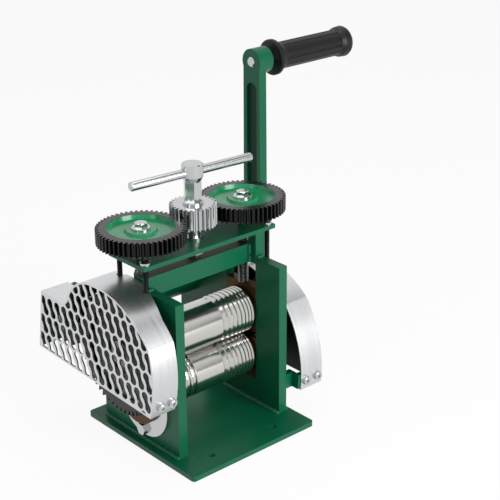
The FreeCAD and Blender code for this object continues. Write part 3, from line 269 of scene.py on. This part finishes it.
lapped_steel = turned_metal("lapped_roll_steel", "#c4c3bf", 0.17, ring=ROLL_RING, relief=0.25)
plain_steel = turned_metal("turned_steel", "#8f8e8b", 0.3)
upright_steel = turned_metal("turned_steel_upright", "#9b9a97", 0.26, axis="Z")
screw_steel = turned_metal("oiled_screw_steel", "#6f6e6b", 0.24, axis="Z")
black_rod = turned_metal("blackened_rod", "#2c2d2e", 0.34, axis="Z")

# %% [markdown]
# Most small bolts and nuts, the handle's pin, the strap on the left plate, the centre pinion and
# the tommy bar with its hub are zinc plated and bright dipped. The plating is smooth at first
# sight, with a soft haze that rounds off reflections. One roughness all over would look too
# perfect, so a fine noise moves it between bright and hazy.

# %% Bright zinc
ZINC_HAZE = 26 / (100 * MM)


def bright_zinc():
    """Plated metal whose gloss wanders a little."""
    finish, tree = new_finish("bright_zinc")
    place = add(tree, "ShaderNodeTexCoord").outputs["Object"]
    haze = add(tree, "ShaderNodeTexNoise", {"Vector": place, "Scale": ZINC_HAZE, "Detail": 3.0})
    shine = add(tree, "ShaderNodeMapRange", {
        "Value": haze.outputs["Fac"], "To Min": 0.1, "To Max": 0.2})
    metal = add(tree, "ShaderNodeBsdfPrincipled", {
        "Base Color": linear("#bfc1c2"), "Metallic": 1.0, "Roughness": shine.outputs["Result"]})
    return close_finish(finish, metal.outputs["BSDF"])


zinc = bright_zinc()

# %% [markdown]
# The gears were dipped in hot blackening salts, which turn the skin of the steel to black oxide.
# It is still metal underneath, so it is a dark metal with an oily, fairly even gloss. Black paint
# would hide the metal; here a thin clear coat over it stands for the oil.

# %% Black oxide
OIL_CLOUDS = 12 / (100 * MM)


def oxide_shader(tree, place):
    """Blackened steel, slightly uneven, with a film of oil."""
    cloud = add(tree, "ShaderNodeTexNoise", {"Vector": place, "Scale": OIL_CLOUDS, "Detail": 4.0})
    shine = add(tree, "ShaderNodeMapRange", {
        "Value": cloud.outputs["Fac"], "To Min": 0.2, "To Max": 0.36})
    return add(tree, "ShaderNodeBsdfPrincipled", {
        "Base Color": linear("#101112"), "Metallic": 0.75, "Roughness": shine.outputs["Result"],
        "Coat Weight": 0.25, "Coat Roughness": 0.18})


def black_oxide():
    """Black oxide for gears that are black all over."""
    finish, tree = new_finish("black_oxide")
    place = add(tree, "ShaderNodeTexCoord").outputs["Object"]
    return close_finish(finish, oxide_shader(tree, place).outputs["BSDF"])


oxide = black_oxide()

# %% [markdown]
# The two top gears are black on the rim and green in the dished web: the web was painted with a
# brush, up to the ring's inner edge, and brushed enamel dries lighter and glossier than sprayed.
# The distance from the gear's own axis tells rim from web, and the underside stays black.

# %% Top gears: painted web, black rim
BRUSHED_GREEN = "#148a58"
BRUSHED_ROUGHNESS = 0.26
WEB_RADIUS = 30.4 * MM
BLACK_FOOT = 1 * MM


def painted_gear(name, axis_x, lowest_paint):
    """Brushed enamel near the gear's axis and above a height, black oxide elsewhere."""
    finish, tree = new_finish(name)
    place = add(tree, "ShaderNodeTexCoord").outputs["Object"]
    paint = enamel_shader(tree, BRUSHED_GREEN, BRUSHED_ROUGHNESS, place, coat=0.45)
    rim = oxide_shader(tree, place)
    parts = add(tree, "ShaderNodeSeparateXYZ", {"Vector": place})
    from_axis = add(tree, "ShaderNodeMath", {0: parts.outputs["X"], 1: axis_x},
                    operation="SUBTRACT")
    flat = add(tree, "ShaderNodeCombineXYZ", {
        "X": from_axis.outputs["Value"], "Y": parts.outputs["Y"]})
    radius = add(tree, "ShaderNodeVectorMath", {0: flat.outputs["Vector"]}, operation="LENGTH")
    in_web = add(tree, "ShaderNodeMath", {0: radius.outputs["Value"], 1: WEB_RADIUS},
                 operation="LESS_THAN")
    above = add(tree, "ShaderNodeMath", {0: parts.outputs["Z"], 1: lowest_paint},
                operation="GREATER_THAN")
    painted = add(tree, "ShaderNodeMath", {
        0: in_web.outputs["Value"], 1: above.outputs["Value"]}, operation="MULTIPLY")
    both = add(tree, "ShaderNodeMixShader", {
        "Fac": painted.outputs["Value"], 1: rim.outputs["BSDF"], 2: paint.outputs["BSDF"]})
    return close_finish(finish, both.outputs["Shader"])


gear_low, gear_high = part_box("left_screw_gear")
paint_from_z = gear_low[2] + BLACK_FOOT
print("top gear is", round((gear_high[0] - gear_low[0]) / MM, 1), "mm across")

# %% [markdown]
# The covers are bright rolled aluminium. Rolling draws long faint lines along the sheet. Inside,
# they are matt black, which is painted shade for the dark within the covers. A bent sheet is one
# solid here, so the side that faces the middle of its bend gets the black.

# %% Rolled aluminium, black inside
# A band counts as inside where it faces its middle by more than this many millimetres, and a flat
# face where this much of its direction points inward.
INWARD = 0.5


def cover_sheet(name, middle, streaks, flat_side=0):
    """Aluminium outside; black painted shade where it faces the middle, or away from flat_side on
    X.
    """
    finish, tree = new_finish(name)
    coords = add(tree, "ShaderNodeTexCoord")
    place = coords.outputs["Object"]
    normal = coords.outputs["Normal"]
    stretched = add(tree, "ShaderNodeMapping", {"Vector": place, "Scale": streaks})
    lines = add(tree, "ShaderNodeTexNoise", {
        "Vector": stretched.outputs["Vector"], "Scale": 1.0, "Detail": 3.0})
    shine = add(tree, "ShaderNodeMapRange", {
        "Value": lines.outputs["Fac"], "From Min": NOISE_LOW, "From Max": NOISE_HIGH,
        "To Min": 0.29, "To Max": 0.37})
    tone = add(tree, "ShaderNodeValToRGB", {"Fac": lines.outputs["Fac"]})
    tone.color_ramp.elements[0].color = linear("#c2c4c6")
    tone.color_ramp.elements[1].color = linear("#d8d9da")
    outside = add(tree, "ShaderNodeBsdfPrincipled", {
        "Base Color": tone.outputs["Color"], "Metallic": 1.0,
        "Roughness": shine.outputs["Result"]})
    # Painted shade: the matt black inside stands for the dark within the covers.
    inside = add(tree, "ShaderNodeBsdfPrincipled", {
        "Base Color": linear("#0d0e0e"), "Roughness": 0.7})
    if flat_side:
        direction = add(tree, "ShaderNodeSeparateXYZ", {"Vector": normal}).outputs["X"]
        inward = add(tree, "ShaderNodeMath", {0: direction, 1: -flat_side}, operation="MULTIPLY")
    else:
        from_middle = add(tree, "ShaderNodeVectorMath", {0: place, 1: middle},
                          operation="SUBTRACT")
        flat = add(tree, "ShaderNodeVectorMath", {
            0: from_middle.outputs["Vector"], 1: (0.0, 1.0, 1.0)}, operation="MULTIPLY")
        outward = add(tree, "ShaderNodeVectorMath", {0: flat.outputs["Vector"], 1: normal},
                      operation="DOT_PRODUCT")
        inward = add(tree, "ShaderNodeMath", {0: outward.outputs["Value"], 1: -1 / MM},
                     operation="MULTIPLY")
    shaded_inside = add(tree, "ShaderNodeMath", {0: inward.outputs["Value"], 1: INWARD},
                    operation="GREATER_THAN")
    both = add(tree, "ShaderNodeMixShader", {
        "Fac": shaded_inside.outputs["Value"], 1: outside.outputs["BSDF"], 2: inside.outputs["BSDF"]})
    return close_finish(finish, both.outputs["Shader"])


left_middle = (0.0, 0.0, 104 * MM)
right_middle = (0.0, 0.0, 57 * MM)
# How many lines there are along X, Y and Z: many across the rolling, few along it.
band_streaks = (9 / (10 * MM), 1.2 / (100 * MM), 1.2 / (100 * MM))
face_streaks = (1.2 / (100 * MM), 4 / (100 * MM), 5 / (10 * MM))
left_band_finish = cover_sheet("left_band_aluminium", left_middle, band_streaks)
right_band_finish = cover_sheet("right_band_aluminium", right_middle, band_streaks)
left_face_finish = cover_sheet("left_face_aluminium", left_middle, face_streaks, flat_side=-1)
right_face_finish = cover_sheet("right_face_aluminium", right_middle, face_streaks, flat_side=1)

# %% [markdown]
# The bearing blocks are cast bronze, dark brown with oil and handling. The grip is moulded rubber,
# matt with a fine grain from the mould. Springs are drawn wire with a grey sheen. The lining
# behind the right cover's holes is a black sheet: painted shade for the dark inside that cover.
# All four are two close tones that drift into each other, so one recipe with their own numbers
# does for all.

# %% Bronze, rubber, shade liner and spring wire
FINE_GRAIN = 0.6 * MM
GRAIN_HEIGHT = 0.1 * MM


def cloudy(name, dark, light, clouds, metallic, smooth, rough, grain=0.0, specular=0.5):
    """A two-tone surface whose colour and gloss wander together."""
    finish, tree = new_finish(name)
    place = add(tree, "ShaderNodeTexCoord").outputs["Object"]
    cloud = add(tree, "ShaderNodeTexNoise", {"Vector": place, "Scale": clouds, "Detail": 4.0})
    tone = add(tree, "ShaderNodeValToRGB", {"Fac": cloud.outputs["Fac"]})
    tone.color_ramp.elements[0].color = linear(dark)
    tone.color_ramp.elements[1].color = linear(light)
    shine = add(tree, "ShaderNodeMapRange", {
        "Value": cloud.outputs["Fac"], "To Min": smooth, "To Max": rough})
    fine = add(tree, "ShaderNodeTexNoise", {
        "Vector": place, "Scale": 1 / FINE_GRAIN, "Detail": 2.0})
    bump = add(tree, "ShaderNodeBump", {
        "Height": fine.outputs["Fac"], "Strength": grain, "Distance": GRAIN_HEIGHT})
    surface = add(tree, "ShaderNodeBsdfPrincipled", {
        "Base Color": tone.outputs["Color"], "Metallic": metallic,
        "Roughness": shine.outputs["Result"], "Specular IOR Level": specular,
        "Normal": bump.outputs["Normal"]})
    return close_finish(finish, surface.outputs["BSDF"])


bronze = cloudy("oiled_bronze", "#38230f", "#644423", clouds=9 / (100 * MM), metallic=0.9,
                smooth=0.34, rough=0.5, grain=0.1)
# Painted shade: the liner's black stands for the dark inside the right cover.
shade_liner = cloudy("shade_liner_black", "#0c0d0e", "#141516", clouds=6 / (100 * MM), metallic=0.0,
                     smooth=0.5, rough=0.65)
rubber = cloudy("moulded_rubber", "#070708", "#0f0f10", clouds=20 / (100 * MM), metallic=0.0,
                smooth=0.36, rough=0.5, grain=0.3, specular=0.28)
wire = cloudy("spring_wire", "#5d5d5c", "#8b8b8a", clouds=30 / (100 * MM), metallic=1.0,
              smooth=0.28, rough=0.4)

# %% [markdown]
# Each solid now gets its finish. The lists read like a paint shop's order: what is sprayed, what
# is plated, what is blackened. A solid keeps its mesh; only its material slot changes.

# %% Give every solid its finish
finishes = {
    enamel: ["base_plate", "left_side_plate", "right_side_plate", "foot_welds", "top_plate",
             "top_plate_prop", "top_plate_studs", "stud_lugs", "cover_lugs",
             "left_crank_bracket", "right_crank_bracket", "crank_bearing_tube"],
    arm_finish: ["crank_arm"],
    beam_finish: ["crossbeam"],
    zinc: ["stud_nuts", "retaining_plate", "retaining_plate_bolts", "centre_pinion",
           "adjusting_shaft_washer", "tommy_bar_hub", "tommy_bar", "left_screw_gear_bolt",
           "right_screw_gear_bolt", "cover_screws", "adjusting_shaft_nut", "handle_spindle"],
    lapped_steel: ["lower_roll", "upper_roll"],
    plain_steel: ["lower_roll_bolts", "upper_roll_bolts", "crank_shaft", "crank_spacers",
                  "lower_roll_key", "upper_roll_keys"],
    upright_steel: ["adjusting_shaft", "left_pressure_screw", "right_pressure_screw"],
    oxide: ["lower_sync_gear", "upper_sync_gear", "drive_gear", "crank_pinion"],
    bronze: ["lower_thrust_washers", "upper_thrust_washers", "upper_sleeves",
             "lower_left_block", "lower_right_block", "upper_left_block", "upper_right_block",
             "crank_bushes", "lower_thrust_collar"],
    rubber: ["grip"],
    shade_liner: ["right_cover_liner"],
    wire: ["lift_springs"],
    left_band_finish: ["left_cover_band"],
    right_band_finish: ["right_cover_band"],
    left_face_finish: ["left_cover_face"],
    right_face_finish: ["right_cover_face"],
}
for side in ("left", "right"):
    low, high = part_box(side + "_screw_gear")
    gear_finish = painted_gear(side + "_top_gear", (low[0] + high[0]) / 2, paint_from_z)
    finishes[gear_finish] = [side + "_screw_gear"]


def dress(piece, finish):
    """Replace whatever material a piece has with one finish."""
    piece.data.materials.clear()
    piece.data.materials.append(finish)


dressed = 0
for finish, names in finishes.items():
    for name in names:
        dress(nodes[name], finish)
        dressed += 1
print("dressed", dressed, "of", len(nodes), "solids")

# %% [markdown]
# Plates sawn from bar have their sharp corners filed off before painting, and each filed corner
# draws a thin light line. A bevel modifier does the same without touching the solid's own mesh: it
# works on real corners only, because flat neighbours lie below its angle limit.

# %% Broken corners
CORNER_ANGLE = math.radians(50)


def break_corners(width, *names):
    """Bevel the sharp corners of solids by a width."""
    for name in names:
        bevel = nodes[name].modifiers.new("broken_corner", "BEVEL")
        bevel.width = width
        bevel.segments = 2
        bevel.limit_method = "ANGLE"
        bevel.angle_limit = CORNER_ANGLE
    print("corners broken by", round(width / MM, 2), "mm on", len(names), "solids")


break_corners(0.7 * MM, "left_side_plate", "right_side_plate", "base_plate", "top_plate_prop",
              "left_crank_bracket", "right_crank_bracket", "stud_lugs")
break_corners(0.9 * MM, "crossbeam", "crank_arm")
break_corners(0.4 * MM, "top_plate", "retaining_plate")

# %% [markdown]
# A screw thread is a V groove that climbs one pitch for each turn. A cylinder made of many rings
# turns into one when each point's radius follows a zigzag of its height and its angle together.
# Bump would leave the outline smooth, and threads show most at the outline, so the mesh has them.

# %% A threaded rod
RINGS_PER_TURN = 6
# A groove is this deep for each unit of pitch.
GROOVE_DEPTH = 0.55


def threaded_rod(mesh, centre, radius, pitch, low, high, sides):
    """Add a closed threaded rod along Z; its crests reach the radius."""
    count = round((high - low) / pitch * RINGS_PER_TURN)
    rings = []
    for i in range(count + 1):
        height = low + (high - low) * i / count
        ring = []
        for j in range(sides):
            groove = abs(2 * ((height / pitch - j / sides) % 1.0) - 1)
            reach = radius - GROOVE_DEPTH * pitch * groove
            turn = 2 * math.pi * j / sides
            x = centre[0] + reach * math.cos(turn)
            y = centre[1] + reach * math.sin(turn)
            ring.append(mesh.verts.new((x, y, height)))
        rings.append(ring)
    close_tube(mesh, rings)


def close_tube(mesh, rings):
    """Skin a list of rings and cap both ends."""
    for below, above in zip(rings, rings[1:]):
        for j in range(len(below)):
            k = (j + 1) % len(below)
            mesh.faces.new((below[j], below[k], above[k], above[j]))
    mesh.faces.new(rings[0][::-1])
    mesh.faces.new(rings[-1])


def object_from(mesh, name):
    """Turn a bmesh into an object of the scene."""
    data = bpy.data.meshes.new(name)
    mesh.to_mesh(data)
    mesh.free()
    made = bpy.data.objects.new(name, data)
    bpy.context.collection.objects.link(made)
    return made


def piece_from(mesh, name, finish, body, *stands_for):
    """Turn a bmesh into a piece that rides on a body and may stand for solids."""
    bmesh.ops.recalc_face_normals(mesh, faces=mesh.faces)
    piece = object_from(mesh, name)
    dress(piece, finish)
    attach(piece, body)
    if stands_for:
        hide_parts(*stands_for)
    print("piece", name, "with", len(piece.data.polygons), "faces")


# %% [markdown]
# Each pressure screw is threaded up to its gear and then turned down to a plain seat, on which the
# gear is held. The four studs that hold the ends of the top plate are rod with a finer thread.
# Both take the place of plain cylinders, so their places and lengths are read from those.

# %% Pressure screws and studs
SCREW_PITCH = 1.5 * MM
SCREW_SIDES = 32
SEAT_RADIUS = 4.5 * MM
for side in ("left", "right"):
    low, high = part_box(side + "_pressure_screw")
    gear_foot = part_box(side + "_screw_gear")[0][2]
    middle = ((low[0] + high[0]) / 2, (low[1] + high[1]) / 2)
    screw_radius = (high[0] - low[0]) / 2
    mesh = bmesh.new()
    threaded_rod(mesh, middle, screw_radius, SCREW_PITCH, low[2], gear_foot, SCREW_SIDES)
    seat = bmesh.ops.create_cone(mesh, cap_ends=True, segments=SCREW_SIDES, radius1=SEAT_RADIUS,
                                 radius2=SEAT_RADIUS, depth=high[2] - gear_foot)
    bmesh.ops.translate(mesh, verts=seat["verts"], vec=(*middle, (high[2] + gear_foot) / 2))
    piece_from(mesh, side + "_threaded_screw", screw_steel, side + "_screw",
               side + "_pressure_screw")

STUD_PITCH = 0.9 * MM
STUD_SIDES = 20
STUD_RADIUS = 2.5 * MM
low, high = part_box("top_plate_studs")
mesh = bmesh.new()
for x in (low[0] + STUD_RADIUS, high[0] - STUD_RADIUS):
    for y in (low[1] + STUD_RADIUS, high[1] - STUD_RADIUS):
        threaded_rod(mesh, (x, y), STUD_RADIUS, STUD_PITCH, low[2], high[2], STUD_SIDES)
piece_from(mesh, "threaded_studs", black_rod, "frame", "top_plate_studs")

# %% [markdown]
# A hand-laid weld is a row of small overlapping pools. Its section bulges a little between the two
# walls, and its size swells and shrinks once for each pool. Each bead here is such a section swept
# along a corner, with a slow wander on top because no hand moves evenly. It is painted over.

# %% The shape of a weld bead
POOL = 2.6 * MM
STEPS_PER_POOL = 5
FEWEST_STEPS = 6
SECTION_POINTS = 7
# A bead starts and ends at a share of its size and grows by the rest.
END_SIZE = 0.55
GROWTH = 0.45
# At its full size it is mostly steady, part pool and part wander.
STEADY = 0.84
POOLING = 0.12
WANDERING = 0.04
WANDER = 9 * MM
# Every bead wanders from another start, which these two draw from its place.
START_BY_X = 700
START_BY_Z = 300


def weld_bead(mesh, start, end, wall_a, wall_b, leg):
    """A rippled fillet in the corner line from start to end, reaching leg along two walls."""
    start, end, wall_a, wall_b = (Vector(v) for v in (start, end, wall_a, wall_b))
    length = (end - start).length
    along = (end - start) / length
    steps = max(FEWEST_STEPS, round(length / POOL * STEPS_PER_POOL))
    rings = []
    for i in range(steps + 1):
        at = length * i / steps
        from_end = max(0.0, min(at, length - at))
        taper = END_SIZE + GROWTH * min(1.0, from_end / leg) ** 0.5
        pool = abs(math.sin(math.pi * at / POOL))
        wander = math.sin(at / WANDER + start.x * START_BY_X + start.z * START_BY_Z)
        size = leg * taper * (STEADY + POOLING * pool + WANDERING * wander)
        foot = start + along * at
        ring = [mesh.verts.new(foot)]
        for k in range(SECTION_POINTS):
            turn = math.radians(90 * k / (SECTION_POINTS - 1))
            reach = (wall_a * math.cos(turn) + wall_b * math.sin(turn)) * size
            ring.append(mesh.verts.new(foot + reach))
        rings.append(ring)
    close_tube(mesh, rings)


print("a bead has", SECTION_POINTS + 1, "points round and", STEPS_PER_POOL, "steps to a pool")

# %% [markdown]
# The side plates stand on the base plate, with a bead along both faces of each foot. The solids
# have plain fillets there, and the beads take their place.

# %% Beads at the feet
base_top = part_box("base_plate")[1][2]
mesh = bmesh.new()
for name in ("left_side_plate", "right_side_plate"):
    low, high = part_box(name)
    for x, away in ((low[0], -1), (high[0], 1)):
        weld_bead(mesh, (x, low[1], base_top), (x, high[1], base_top), (away, 0, 0), (0, 0, 1),
                  leg=3.5 * MM)
piece_from(mesh, "foot_beads", enamel, "frame", "foot_welds")

# %% [markdown]
# The crossbeam sits between the lips of the side plates, under the top plate. Where its front
# meets the plates it is welded, and so is the foot of the prop that carries the right end of the
# top plate. These beads stand for no solid: they lie in the corners as extra metal.

# %% Beads round the beam
SHORT_OF_END = 1 * MM
beam_low, beam_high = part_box("crossbeam")
prop_low, prop_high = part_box("top_plate_prop")
plate_top = prop_low[2]
mesh = bmesh.new()
for name, inward in (("left_side_plate", 1), ("right_side_plate", -1)):
    low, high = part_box(name)
    inner = high[0] if inward > 0 else low[0]
    weld_bead(mesh, (inner, beam_low[1], beam_low[2]), (inner, beam_low[1], plate_top),
              (inward, 0, 0), (0, -1, 0), leg=3.2 * MM)
left_low, left_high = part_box("left_side_plate")
weld_bead(mesh, (left_low[0] + SHORT_OF_END, beam_low[1], plate_top),
          (left_high[0] - SHORT_OF_END, beam_low[1], plate_top), (0, -1, 0), (0, 0, 1),
          leg=3.0 * MM)
weld_bead(mesh, (prop_low[0] + SHORT_OF_END, prop_low[1], plate_top),
          (prop_high[0] - SHORT_OF_END, prop_low[1], plate_top), (0, -1, 0), (0, 0, 1),
          leg=3.2 * MM)
weld_bead(mesh, (prop_low[0], beam_low[1], plate_top), (prop_low[0], beam_low[1], beam_high[2]),
          (-1, 0, 0), (0, -1, 0), leg=2.6 * MM)
piece_from(mesh, "beam_beads", enamel, "frame")

# %% [markdown]
# The crank-shaft brackets stand on the back edges of the side plates. Outside, where plate and
# bracket meet, a slim bead runs up the seam. The seam is flat, so the bead is made of two halves,
# one that leans on the plate and one that leans on the bracket.

# %% Beads on the brackets
mesh = bmesh.new()
for name, outward in (("left_crank_bracket", -1), ("right_crank_bracket", 1)):
    low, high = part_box(name)
    outer = low[0] if outward < 0 else high[0]
    for way in (-1, 1):
        weld_bead(mesh, (outer, low[1], low[2] + SHORT_OF_END),
                  (outer, low[1], high[2] - SHORT_OF_END), (0, way, 0), (outward, 0, 0),
                  leg=2.4 * MM)
piece_from(mesh, "bracket_beads", enamel, "frame")

# %% [markdown]
# The floor is a plain pale sheet. What the camera and every reflection see of it is mostly an even
# white glow, with a little paper that takes the mill's soft shadow. All other light meets only
# the paper, so the floor doesn't light the mill from below like a lamp.

# %% Floor
FLOOR_SIZE = 12.0
FLOOR_GLOW = 0.92
# The sheet lies a little below the mill's foot, so that the two don't share a plane.
BELOW_FOOT = 0.5 * MM


def pale_floor():
    """White to the eye and in reflections, pale paper to all other light."""
    finish, tree = new_finish("pale_floor")
    rays = add(tree, "ShaderNodeLightPath")
    paper = add(tree, "ShaderNodeBsdfPrincipled", {
        "Base Color": linear("#f4f4f4"), "Roughness": 0.9})
    white = add(tree, "ShaderNodeEmission", {"Color": (1.0, 1.0, 1.0, 1.0), "Strength": 1.0})
    seen = add(tree, "ShaderNodeMath", {
        0: rays.outputs["Is Camera Ray"], 1: rays.outputs["Is Glossy Ray"]}, operation="MAXIMUM")
    share = add(tree, "ShaderNodeMath", {0: seen.outputs["Value"], 1: FLOOR_GLOW},
                operation="MULTIPLY")
    both = add(tree, "ShaderNodeMixShader", {
        "Fac": share.outputs["Value"], 1: paper.outputs["BSDF"], 2: white.outputs["Emission"]})
    return close_finish(finish, both.outputs["Shader"])


bpy.ops.mesh.primitive_plane_add(size=FLOOR_SIZE, location=(0, 0, -BELOW_FOOT))
floor = bpy.context.object
floor.name = "floor"
dress(floor, pale_floor())

# %% [markdown]
# Light comes from big soft panels, as in a product studio: a strong one in front, and weaker ones
# at the left and overhead. The world fills the shadows. Metals need something to mirror, so the
# panels are left visible to them.


# %% Lights
def aim(thing, place, target):
    """Stand a lamp or a card at a place and turn it to a point."""
    thing.location = place
    thing.rotation_euler = (Vector(target) - Vector(place)).to_track_quat("-Z", "Y").to_euler()


def panel(name, place, target, width, height, watts):
    """A rectangular soft light that faces a point."""
    light = bpy.data.lights.new(name, "AREA")
    light.shape = "RECTANGLE"
    light.size = width
    light.size_y = height
    light.energy = watts
    lamp = bpy.data.objects.new(name, light)
    bpy.context.collection.objects.link(lamp)
    aim(lamp, place, target)
    print("panel", name, "at", [round(c, 2) for c in place])


heart = (0.0, 0.0, 0.13)
panel("front_panel", (0.25, -1.5, 0.55), heart, width=0.9, height=0.9, watts=28)
panel("left_panel", (-1.5, -0.1, 0.7), heart, width=0.7, height=1.0, watts=5)
panel("top_panel", (0.1, 0.2, 1.6), heart, width=1.2, height=0.8, watts=8)

# %% [markdown]
# Polished steel in a white room looks like plaster. Product studios hang black cards out of view,
# so that rounded metal mirrors a dark band and its shape shows. A few such cards stand here; only
# reflections see them, so they take no light from the mill. The front one is black at its foot and
# fades to white, so that a roll shows one hard edge and one soft one.

# %% Black cards
CARD_BLACK = "#101214"


def card_finish(name, foot, head):
    """A glow that is graded from a card's foot to its head."""
    finish, tree = new_finish(name)
    across = add(tree, "ShaderNodeTexCoord").outputs["Generated"]
    upward = add(tree, "ShaderNodeSeparateXYZ", {"Vector": across})
    tone = add(tree, "ShaderNodeValToRGB", {"Fac": upward.outputs["Y"]})
    tone.color_ramp.elements[0].color = linear(foot)
    tone.color_ramp.elements[1].color = linear(head)
    glow = add(tree, "ShaderNodeEmission", {"Color": tone.outputs["Color"], "Strength": 1.0})
    return close_finish(finish, glow.outputs["Emission"])


def black_card(name, place, target, width, height, foot=CARD_BLACK, head=CARD_BLACK):
    """A sheet that only glossy rays see, black or graded from its foot to its head."""
    finish = card_finish(name, foot, head)
    mesh = bmesh.new()
    corners = ((-1, -1), (1, -1), (1, 1), (-1, 1))
    mesh.faces.new([mesh.verts.new((x * width / 2, y * height / 2, 0)) for x, y in corners])
    card = object_from(mesh, name)
    dress(card, finish)
    aim(card, place, target)
    card.visible_camera = False
    card.visible_diffuse = False
    card.visible_shadow = False
    card.visible_transmission = False
    print("card", name, "at", [round(c, 2) for c in place])


at_rolls = (0.0, 0.0, 0.1)
at_gears = (0.0, 0.0, 0.2)
black_card("front_card", (1.3, -1.5, 1.0), at_rolls, width=2.6, height=1.0,
           foot="#060606", head="#ffffff")
black_card("left_card", (-1.5, 0.15, 0.45), at_gears, width=0.45, height=1.3)
black_card("near_card", (-0.15, -1.7, 0.5), at_gears, width=0.22, height=1.3)
black_card("upper_card", (0.9, -0.5, 1.6), at_rolls, width=0.35, height=1.6)

# %% [markdown]
# The world is plain white to the eye and in every reflection. What it sheds on the mill is the
# light of a dimmer, slightly cool room, which keeps the shadows inside the frame deep.

# %% World
ROOM_LIGHT = 0.26
world = bpy.data.worlds.new("studio")
bpy.context.scene.world = world
world.use_nodes = True
sky = world.node_tree
sky.nodes.clear()
rays = add(sky, "ShaderNodeLightPath")
backdrop = add(sky, "ShaderNodeBackground", {"Color": (1.0, 1.0, 1.0, 1.0), "Strength": 1.0})
mirrored = add(sky, "ShaderNodeMath", {
    0: rays.outputs["Is Camera Ray"], 1: rays.outputs["Is Glossy Ray"]}, operation="MAXIMUM")
room = add(sky, "ShaderNodeBackground", {"Color": linear("#dfe3e6"), "Strength": ROOM_LIGHT})
chosen = add(sky, "ShaderNodeMixShader", {
    "Fac": mirrored.outputs["Value"], 1: room.outputs["Background"],
    2: backdrop.outputs["Background"]})
add(sky, "ShaderNodeOutputWorld", {"Surface": chosen.outputs["Shader"]})
print("room light at strength", ROOM_LIGHT)

# %% [markdown]
# The camera stands where a buyer would look from: left of the mill, in front and a little above.
# A long lens keeps uprights nearly parallel.

# %% Camera
CAMERA_PLACE = Vector((-690.0, -857.5, 639.7)) * MM
CAMERA_TURN = math.radians(-41.488)
CAMERA_RISE = math.radians(22.892)
CAMERA_ROLL = math.radians(-0.374)
# Blender takes a lens and its sensor in millimetres, and how far the camera sees in metres.
FOCAL_LENGTH = 93.79
SENSOR_WIDTH = 36.0
FARTHEST = 50.0
back = Vector((math.sin(CAMERA_TURN) * math.cos(CAMERA_RISE),
               -math.cos(CAMERA_TURN) * math.cos(CAMERA_RISE),
               math.sin(CAMERA_RISE)))
lens = bpy.data.cameras.new("camera")
lens.lens = FOCAL_LENGTH
lens.sensor_width = SENSOR_WIDTH
lens.clip_end = FARTHEST
camera = bpy.data.objects.new("camera", lens)
bpy.context.collection.objects.link(camera)
upright = (-back).to_track_quat("-Z", "Y")
camera.matrix_world = (Matrix.Translation(CAMERA_PLACE) @ upright.to_matrix().to_4x4()
                       @ Matrix.Rotation(CAMERA_ROLL, 4, "Z"))
bpy.context.scene.camera = camera
bpy.context.scene.view_settings.view_transform = "Standard"
print("camera at", [round(c / MM) for c in CAMERA_PLACE], "mm")
